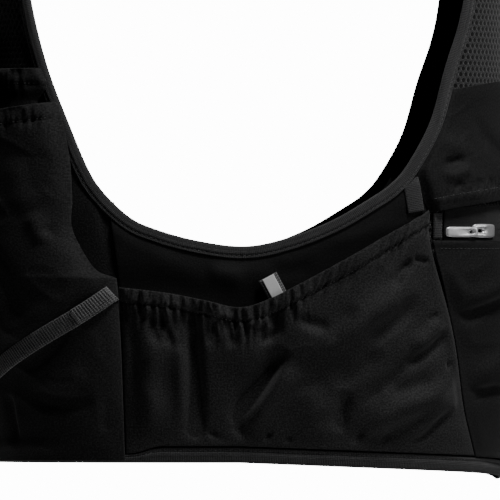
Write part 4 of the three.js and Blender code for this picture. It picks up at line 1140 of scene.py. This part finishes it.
def fold_section(width, slot):
    """The section of a tape folded round an edge, as rows of (into the cloth, height): its outer line
    from the top edge over a half round to the bottom edge, then its inner line back. Both have the same
    count."""
    middle = EDGE / 2
    inner = middle + slot
    outer = inner + TAPE
    turn = np.linspace(np.pi / 2, -np.pi / 2, FOLD_STEPS)
    flat = np.array([1, 0.985, 0.94, 0.88, 0.82, 0.78, 0.73, 0.66, 0.57, 0.48, 0.4])
    lift = np.array([-0.55, -0.2, 0.0, 0.0, -0.12, -0.42, -0.12, 0.16, 0.28, 0.2, 0.06])
    edge = outer * (1 - 0.12)
    top_u, top_n = flat * width, middle + outer + lift
    bend_u, bend_n = edge - edge * np.cos(turn), middle + outer * np.sin(turn)
    low_u, low_n = flat[::-1] * width, middle - outer - 0.5 * lift[::-1]
    out_u = np.concatenate([top_u, bend_u, low_u])
    out_n = np.concatenate([top_n, bend_n, low_n])
    in_u = np.concatenate([flat * width, edge - (edge - TAPE) * np.cos(turn), flat[::-1] * width])
    level = np.full(FOLD_STEPS, inner)
    in_n = middle + np.concatenate([level, inner * np.sin(turn), -level])
    return np.concatenate([out_u, in_u[::-1]]), np.concatenate([out_n, in_n[::-1]])


def binding(name, cad_node, edge, closed=False, widths=None, slot=SLOT, both=False):
    """Folded tape swept along an edge of the pattern, with shallow ripples between its stitches: a wave
    of the run and a rumple, strongest near the tape's edge. A closed tape has its join as one step up and
    down."""
    s, v, ds, dv = (np.asarray(x, float) for x in edge)
    count = len(s)
    widths = np.full(count, float(BINDING)) if widths is None else widths
    kinds, which = np.unique(widths, return_inverse=True)
    u, n = np.moveaxis(np.array([fold_section(width, slot) for width in kinds])[which], 1, 0)
    here = on_body(s, v, 0)
    run = np.concatenate([[0], np.cumsum(np.linalg.norm(np.diff(here, axis=0), axis=1))])
    ripple = 0.09 * np.cos(2 * np.pi * run / 2.7) + 0.16 * rumple(run, 0 * run, 9, 1)
    share = clamp(u / widths[:, None])
    ring = u.shape[1]
    point = np.arange(ring)[None, :]
    n = n + np.where(point < FOLD_STEPS, ripple[:, None] * bell((share - 0.72) / 0.2), 0)
    if closed:
        join = 0.45 * bell((s - 1.4) / 0.5) - 0.5 * bell((s - 2.6) / 0.4)
        n = n + np.where(point < 2 * FOLD_STEPS, join[:, None] * bell((share - 0.4) / 0.5), 0)
    scale = np.linalg.norm(on_body(s + 0.5 * ds, v + 0.5 * dv, 0) - here, axis=-1) / 0.5
    step = u / scale[:, None]
    points = placed(s[:, None] + step * ds[:, None], v[:, None] + step * dv[:, None], n)
    flat_u, flat_n = fold_section(1.0, slot)
    across = np.concatenate([[0], np.cumsum(np.hypot(np.diff(flat_u), np.diff(flat_n) / 6))]) * 6
    uv = np.stack(np.broadcast_arrays(run[:, None], across[None, :]), -1)
    faces = swept(count, ring, closed)
    number = np.arange(len(faces))
    # The tape's inner cloth takes the inside weave, nearly black: painted shade.
    lined = (number % ring >= LINED_FROM) & (number % ring < LINED_TO) & (number < (count - 1) * ring)
    for piece in place_piece(name, points, faces, uv, EDGE_TAPE, cad_node, both):
        piece.data.materials.append(INSIDE_SHADE_CLOTH)
        piece.data.polygons.foreach_set("material_index", lined.astype(np.int32))


def both_halves(edge):
    """An edge of the left half with its mirror image joined on at the back's middle."""
    s, v, ds, dv = edge
    mirror = (2 * BACK - s, v, -ds, dv)
    return [np.concatenate([left, right[:-1][::-1]]) for left, right in zip(edge, mirror)]


def hem_edge():
    """The hem from the front edge's tape to the back's middle, with its direction into the cloth."""
    start = into((neck_edge(HEM_BAND), HEM_BAND, 1.0, 0.0), BINDING + CLEAR)[0]
    s = np.linspace(start, BACK, 300)
    return s, hem(s), np.zeros_like(s), np.ones_like(s)


def neck_line():
    """The front edge upward, then the nape, each with its direction into the cloth."""
    b = np.concatenate([[0], np.linspace(0.01, 1, 200)])
    v = np.where(b == 0, 0, front_row(b)[1])
    up = (neck_edge(v), v, np.ones_like(v), np.zeros_like(v))
    nape = nape_edge(np.linspace(0, 1, 70)[1:])
    return tuple(np.concatenate([x, y]) for x, y in zip(up, nape))


def place_bindings():
    """Sweeps the tape round both armholes and along the hem and the neckline."""
    t = np.linspace(0, 1, 521)[:-1]
    binding("armhole_tape", "armhole_binding", edge_of(ARMHOLE, t), closed=True, both=True)
    edge = both_halves(hem_edge())
    binding("hem_tape", "hem_binding", edge, widths=np.round(hem_width(mid(edge[0])), 1))
    binding("neck_tape", "neck_binding", both_halves(neck_line()), slot=NECK_SLOT)


# Straps, tabs and tapes


def webbing(name, cad_node, path, width, count, heights, slot, finish, rib=0.0, pitch=1.45, both=False):
    """A band along a line of the pattern, with ribs across it: a wave of the run, flattened at the
    edges."""
    a, b = np.meshgrid(spread(count, path.length), spread(6, width))
    s0, v0 = path(a - 0.01)
    s1, v1 = path(a + 0.01)
    s, v = path(a)
    run = np.hypot(s1 - s0, v1 - v0)
    side = (b - 0.5) * width
    s, v = s - side * (v1 - v0) / run, v + side * (s1 - s0) / run
    length = a * path.length
    crown = rib * (np.cos(2 * np.pi * length / pitch) + 0.2) * ease(np.minimum(b, 1 - b) * width / 0.8)
    low, high = rounded(a, b, (path.length, width), *heights(s, v, a))
    points = np.stack([placed(s, v, low), placed(s, v, high + crown)])
    uv = np.stack([np.stack([length, side], -1)] * 2)
    place_piece(name, points, sheet_faces(a.shape[1], a.shape[0]), uv, finish, cad_node, both)


STRAP_LINE = smooth_line(SIDE_STRAP, 12)
BUCKLE_S, BUCKLE_V = STRAP_LINE(0.74)
LOOP_LINE = smooth_line([(27, 73), (14.2, 97)])
LOOP_THICK, STRIPE_FROM, STRIPE_TO = 1.6, 0.35, 0.99


def strap_heights(s, v, a):
    """On the front pocket without its folds, a bell curve higher at the buckle, and doubled up to its
    end's tack."""
    near = bell(np.hypot(s - BUCKLE_S, v - BUCKLE_V) / 12.6)
    low = front_pocket_low(s, v) + FABRIC + 2 * CLEAR + 1.4 * near
    doubled = mix(2.1, 1, ease((a - 0.131) / 0.006))
    return low, low + doubled * WEBBING_CLOTH


def seam_heights(s, v, a):
    """Inside the side seams, under the panels."""
    return -0.9, -0.25


def stay_heights(s, v, a):
    """On the wing, sunk a little under the armhole's tape at its top."""
    return WING + 0.3 - 0.6 * ease(a * 3 - 2), WING + 1.4 - 0.9 * ease(a * 4 - 3)


def loop_heights(s, v, a):
    """Off the wing, further up to its free end."""
    low = WING + CLEAR + 2 * ease(a * 1.4)
    return low, low + LOOP_THICK


def stripe_heights(s, v, a):
    """On the key loop."""
    low = loop_heights(s, v, mix(STRIPE_FROM, STRIPE_TO, a))[1] + 0.2
    return low, low + 0.5


def tab_heights(s, v, a):
    """On the mesh, at the zip's end."""
    return MESH + CLEAR, MESH + CLEAR + 1.6


def sternum_heights(s, v, a):
    """Over the tape of both front edges, and down to the mesh at the two ends."""
    low = mix(MESH + CLEAR, OVER + CLEAR, ease((47 - np.abs(s + FRONT)) / 5))
    return low, low + WEBBING_CLOTH


def place_straps():
    """Puts every strap and tape in: its line, width, stations, heights, slot and finish, then its ribs'
    height."""
    wide, ribbed, plain = WEBBING_WIDTH, ("webbing", RIBBED_TAPE), ("binding", EDGE_TAPE)
    strap = (STRAP_LINE, wide, 720, strap_heights)
    webbing("side_strap_webbing", "side_strap", *strap, *ribbed, 0.26, both=True)
    stay = smooth_line([(93, 130.8), (89.8, 148.5)])
    webbing("pocket_stay_tape", "pocket_stay", stay, 9.2, 24, stay_heights, *plain, both=True)
    loop = (LOOP_LINE, 10.4, 60, loop_heights)
    webbing("key_loop_tape", "key_loop", *loop, "binding", RIBBED_TAPE, 0.05, 1.2)
    shares = np.array([STRIPE_FROM, 0.6, 0.8, STRIPE_TO])
    stripe = smooth_line(np.stack(LOOP_LINE(shares), -1))
    light = ("reflective", LIGHT_TAPE)
    webbing("key_loop_light_stripe", "key_loop_stripe", stripe, 6.5, 40, stripe_heights, *light)
    tab = smooth_line([(105.2, 117), (105.2, 130.2)])
    webbing("zip_end_tape", "zip_end_tab", tab, 5.2, 20, tab_heights, *plain)
    for place, height in (("upper", 226), ("lower", 150)):
        line = smooth_line([(-FRONT + reach, height) for reach in (-49, 0, 49)])
        node_name = f"sternum_strap_{place}"
        webbing(f"sternum_webbing_{place}", node_name, line, wide, 420, sternum_heights, *ribbed, 0.12)


# Zip slider

SLIDER_AT, PULLER_AT = 131, 116.4


def ring_plate(name, cad_node, middle, length, width, hole, low, high):
    """A flat plate with a hole, in rings round its rim: a superellipse of power 5 outside, an ellipse
    inside, and a section that rounds over at both edges. middle is its place on the pattern and hole
    gives the hole's place and half sizes from it."""
    turn = np.linspace(0, 2 * np.pi, 73)[:-1]
    cos, sin = np.cos(turn), np.sin(turn)
    reach = (np.abs(cos) ** 5 + np.abs(sin) ** 5) ** (-1 / 5)
    outer = np.stack([length / 2 * reach * cos, width / 2 * reach * sin], -1)
    inner = np.stack([hole[0] + hole[1] * cos, hole[2] * sin], -1)
    share = np.array([0, 0, 0.12, 0.5, 0.88, 1, 1, 0.88, 0.5, 0.12])
    level = np.array([0.25, 0.75, 1, 1, 1, 0.75, 0.25, 0, 0, 0])
    flat = mix(outer[:, None], inner[:, None], share[None, :, None])
    s, v = middle[0] + flat[..., 0], middle[1] + flat[..., 1]
    base = low(s, v)
    points = placed(s, v, base + level * (high(s, v) - base))
    uv = np.stack([s, v], -1)
    new_piece(name, points, swept(len(turn), len(share), True), uv, SLIDER_METAL, [cad_node])


def place_slider():
    """The slider's body over the teeth, with a bell-shaped crown, and its puller toward the tape's
    end."""

    def face(s, v):
        return back_low(s, v) - 2 * CLEAR

    def body(s, v):
        return face(s, v) + 1.5 + 1.4 * bell((s - SLIDER_AT) / 3.5)

    def under(s, v):
        return back_low(s, v) + 0.9 + 1.2 * ease((s - 119) / 6)

    def over(s, v):
        return under(s, v) + 0.9

    middle = (SLIDER_AT, zip_line(SLIDER_AT))
    ring_plate("zip_slider_body", "zip_slider", middle, 15, 7.2, (-3.4, 1.5, 1.0), face, body)
    middle = (PULLER_AT, zip_line(PULLER_AT) - 0.5)
    ring_plate("zip_puller_plate", "zip_puller", middle, 16.5, 5.4, (5.6, 1.3, 1.0), under, over)


# Stitching


def stitches(name, s, v, off, pitch=2.6, length=1.9, radius=0.24, both=True):
    """A row of stitches along a line: short four-sided threads, thin at both ends, laid along the
    cloth."""
    line = placed(s, v, off) * 1000
    lift = placed(s, v, np.asarray(off) + 1.0) * 1000 - line
    run = np.concatenate([[0], np.cumsum(np.linalg.norm(np.diff(line, axis=0), axis=1))])
    starts = np.arange(0.5, run[-1] - length, pitch)
    goals = starts[:, None] + np.array([0, 0.22, 0.5, 0.78, 1]) * length
    centre = np.stack([np.interp(goals, run, line[:, k]) for k in range(3)], -1)
    out = np.stack([np.interp(goals, run, lift[:, k]) for k in range(3)], -1)
    along = centre[:, -1] - centre[:, 0]
    along = (along / np.linalg.norm(along, axis=-1, keepdims=True))[:, None]
    side = np.cross(along, out)
    side /= np.linalg.norm(side, axis=-1, keepdims=True)
    sink = np.array([-0.35, 0.0, 0.12, 0.0, -0.35])[None, :, None]
    thick = (np.array([0.35, 0.95, 1, 0.95, 0.35]) * radius)[None, :, None]
    turn = np.arange(4) * np.pi / 2 + np.pi / 4
    points = centre + out * sink
    cos, sin = np.cos(turn)[:, None], np.sin(turn)[:, None]
    ring = points[:, :, None] + thick[..., None] * (side[:, :, None] * cos + out[:, :, None] * sin)
    one = swept(5, 4, False)
    faces = (one[None] + 20 * np.arange(len(starts))[:, None, None]).reshape(-1, 4)
    uv = np.stack(np.broadcast_arrays(goals[:, :, None], 0.3 * np.arange(4)[None, None, :]), -1)
    place_piece(name, ring.reshape(-1, 3) / 1000, faces, uv, THREAD, both=both)


def pocket_stitches(name, shape, ends, count, share, sizes, lift=0.1, both=True):
    """Stitches along a row of a cloth, at a share of its height and from an end's share to the other. A
    back piece's half goes on with its mirror image."""
    a = np.linspace(ends, 1 - ends, count)
    s, v, _, high = shape(a, share + 0 * a)
    if not both:
        s, v, high = (np.append(x, y[::-1]) for x, y in ((s, 2 * BACK - s), (v, v), (high, high)))
    stitches(name, s, v, high + lift, *sizes, both=both)


def place_stitching():
    """Stitches along the bindings, the elastics, the flap and the zip."""
    s, v = into(edge_of(ARMHOLE, np.linspace(0, 1, 1200)), BINDING - 1.45)
    stitches("armhole_stitching", s, v, OVER - 0.3)
    s, v, *_ = both_halves(hem_edge())
    stitches("hem_stitching", s, v + hem_width(mid(s)) - 1.5, OVER - 0.3, both=False)
    ends, count = 0.015, 700
    a = np.linspace(ends, 1 - ends, count)
    share = 1 - STITCH_LINE / (side_mouth(a) - side_pocket_foot(a))
    pocket_stitches("side_pocket_stitching", side_pocket, ends, count, share, (2.3, 1.6, 0.22))
    share = STITCH_LINE / FLAP_HEIGHT
    pocket_stitches("flap_stitching", flap_half, 0.02, 500, share, (2.4, 1.7, 0.22), both=False)
    fine = (2.3, 1.6, 0.2)
    share = 1 - BAND_STITCH / FRONT_HEIGHT
    pocket_stitches("front_pocket_stitching", front_pocket, 0.03, 400, share, fine)
    share = 1 - BAND_STITCH / (FLASK_TOP - FLASK_FOOT)
    pocket_stitches("flask_pocket_stitching", flask_pocket, 0.03, 400, share, fine)
    pocket_stitches("zip_stitching", back_pocket_half, 0.02, 500, 1 - 4 / BACK_HEIGHT, fine, 0.08, False)


place_cloths()
place_bindings()
place_straps()
place_slider()
place_stitching()

for name in ("strap_buckle_left", "strap_buckle_right", "sternum_clip_upper", "sternum_clip_lower"):
    nodes[name].data.materials.clear()
    nodes[name].data.materials.append(BUCKLE_PLASTIC)


# Studio


def lamp(name, place, aim, size, power):
    """A soft square light at a place in metres, turned to its aim."""
    data = bpy.data.lights.new(name, "AREA")
    data.shape = "SQUARE"
    data.size = size
    data.energy = power
    light = bpy.data.objects.new(name, data)
    light.location = place
    back = np.array(place, float) - aim
    light.rotation_mode = "QUATERNION"
    light.rotation_quaternion = Vector(back).to_track_quat("Z", "Y")
    bpy.context.scene.collection.objects.link(light)


def place_studio():
    """A small pale floor that glows a little, a white sky that only the camera sees, and four soft
    lights."""
    mesh = bpy.data.meshes.new("studio_floor")
    half, height = 0.7, -0.95
    corners = [(-half, -half, height), (half, -half, height), (half, half, height), (-half, half, height)]
    mesh.from_pydata(corners, [], [(0, 1, 2, 3)])
    floor = bpy.data.objects.new("studio_floor", mesh)
    bpy.context.scene.collection.objects.link(floor)
    finish, tree, shader = finish_of("pale_floor", 0.9, 0.1)
    place = node(tree, "TexCoord").outputs["Object"]
    tone(tree, shader, noise(tree, place, 3.0), (0.8, 0.8, 0.8), (0.86, 0.86, 0.86))
    shader.inputs["Emission Color"].default_value = (1, 1, 1, 1)
    shader.inputs["Emission Strength"].default_value = 0.24
    mesh.materials.append(finish)
    world = bpy.data.worlds.new("studio_air")
    bpy.context.scene.world = world
    world.use_nodes = True
    tree = world.node_tree
    out = tree.nodes["World Output"]
    lit = tree.nodes["Background"]
    lit.inputs["Color"].default_value = (0.006, 0.006, 0.0061, 1)
    seen = node(tree, "Background", {"Color": (1, 1, 1, 1), "Strength": 14.0})
    ray = node(tree, "LightPath").outputs["Is Camera Ray"]
    both = node(tree, "MixShader", {0: ray, 1: lit.outputs[0], 2: seen.outputs[0]})
    tree.links.new(both.outputs[0], out.inputs["Surface"])
    centre = np.array([0.1, 0.0, -0.25])
    lamp("key_light", (0.72, 0.42, 1.0), centre, 0.3, 15)
    lamp("side_light", (0.9, 1.3, 0.1), centre, 0.5, 4.2)
    lamp("fill_light", (1.9, -0.9, 0.3), centre, 1.0, 0.5)
    lamp("back_light", (-1.4, 0.5, 0.6), centre, 1.0, 6)


def place_camera():
    """The photograph's view: 2.3 degrees to the front of the wearer's left, from just below, far away."""
    turn, lift, distance, width = math.radians(2.3), math.radians(-0.8), 5.0, 0.26
    back = np.array([math.cos(lift) * math.cos(turn), -math.cos(lift) * math.sin(turn), math.sin(lift)])
    target = np.array([0.15, 0.0052, (110.8 - CARRY) / 1000])
    data = bpy.data.cameras.new("photo_camera")
    data.sensor_width = 36
    data.lens = 36 * distance / width
    data.clip_start, data.clip_end = 0.1, 50
    camera = bpy.data.objects.new("photo_camera", data)
    camera.location = target + back * distance
    camera.rotation_mode = "QUATERNION"
    camera.rotation_quaternion = Vector(back).to_track_quat("Z", "Y")
    bpy.context.scene.collection.objects.link(camera)
    bpy.context.scene.camera = camera


place_studio()
place_camera()
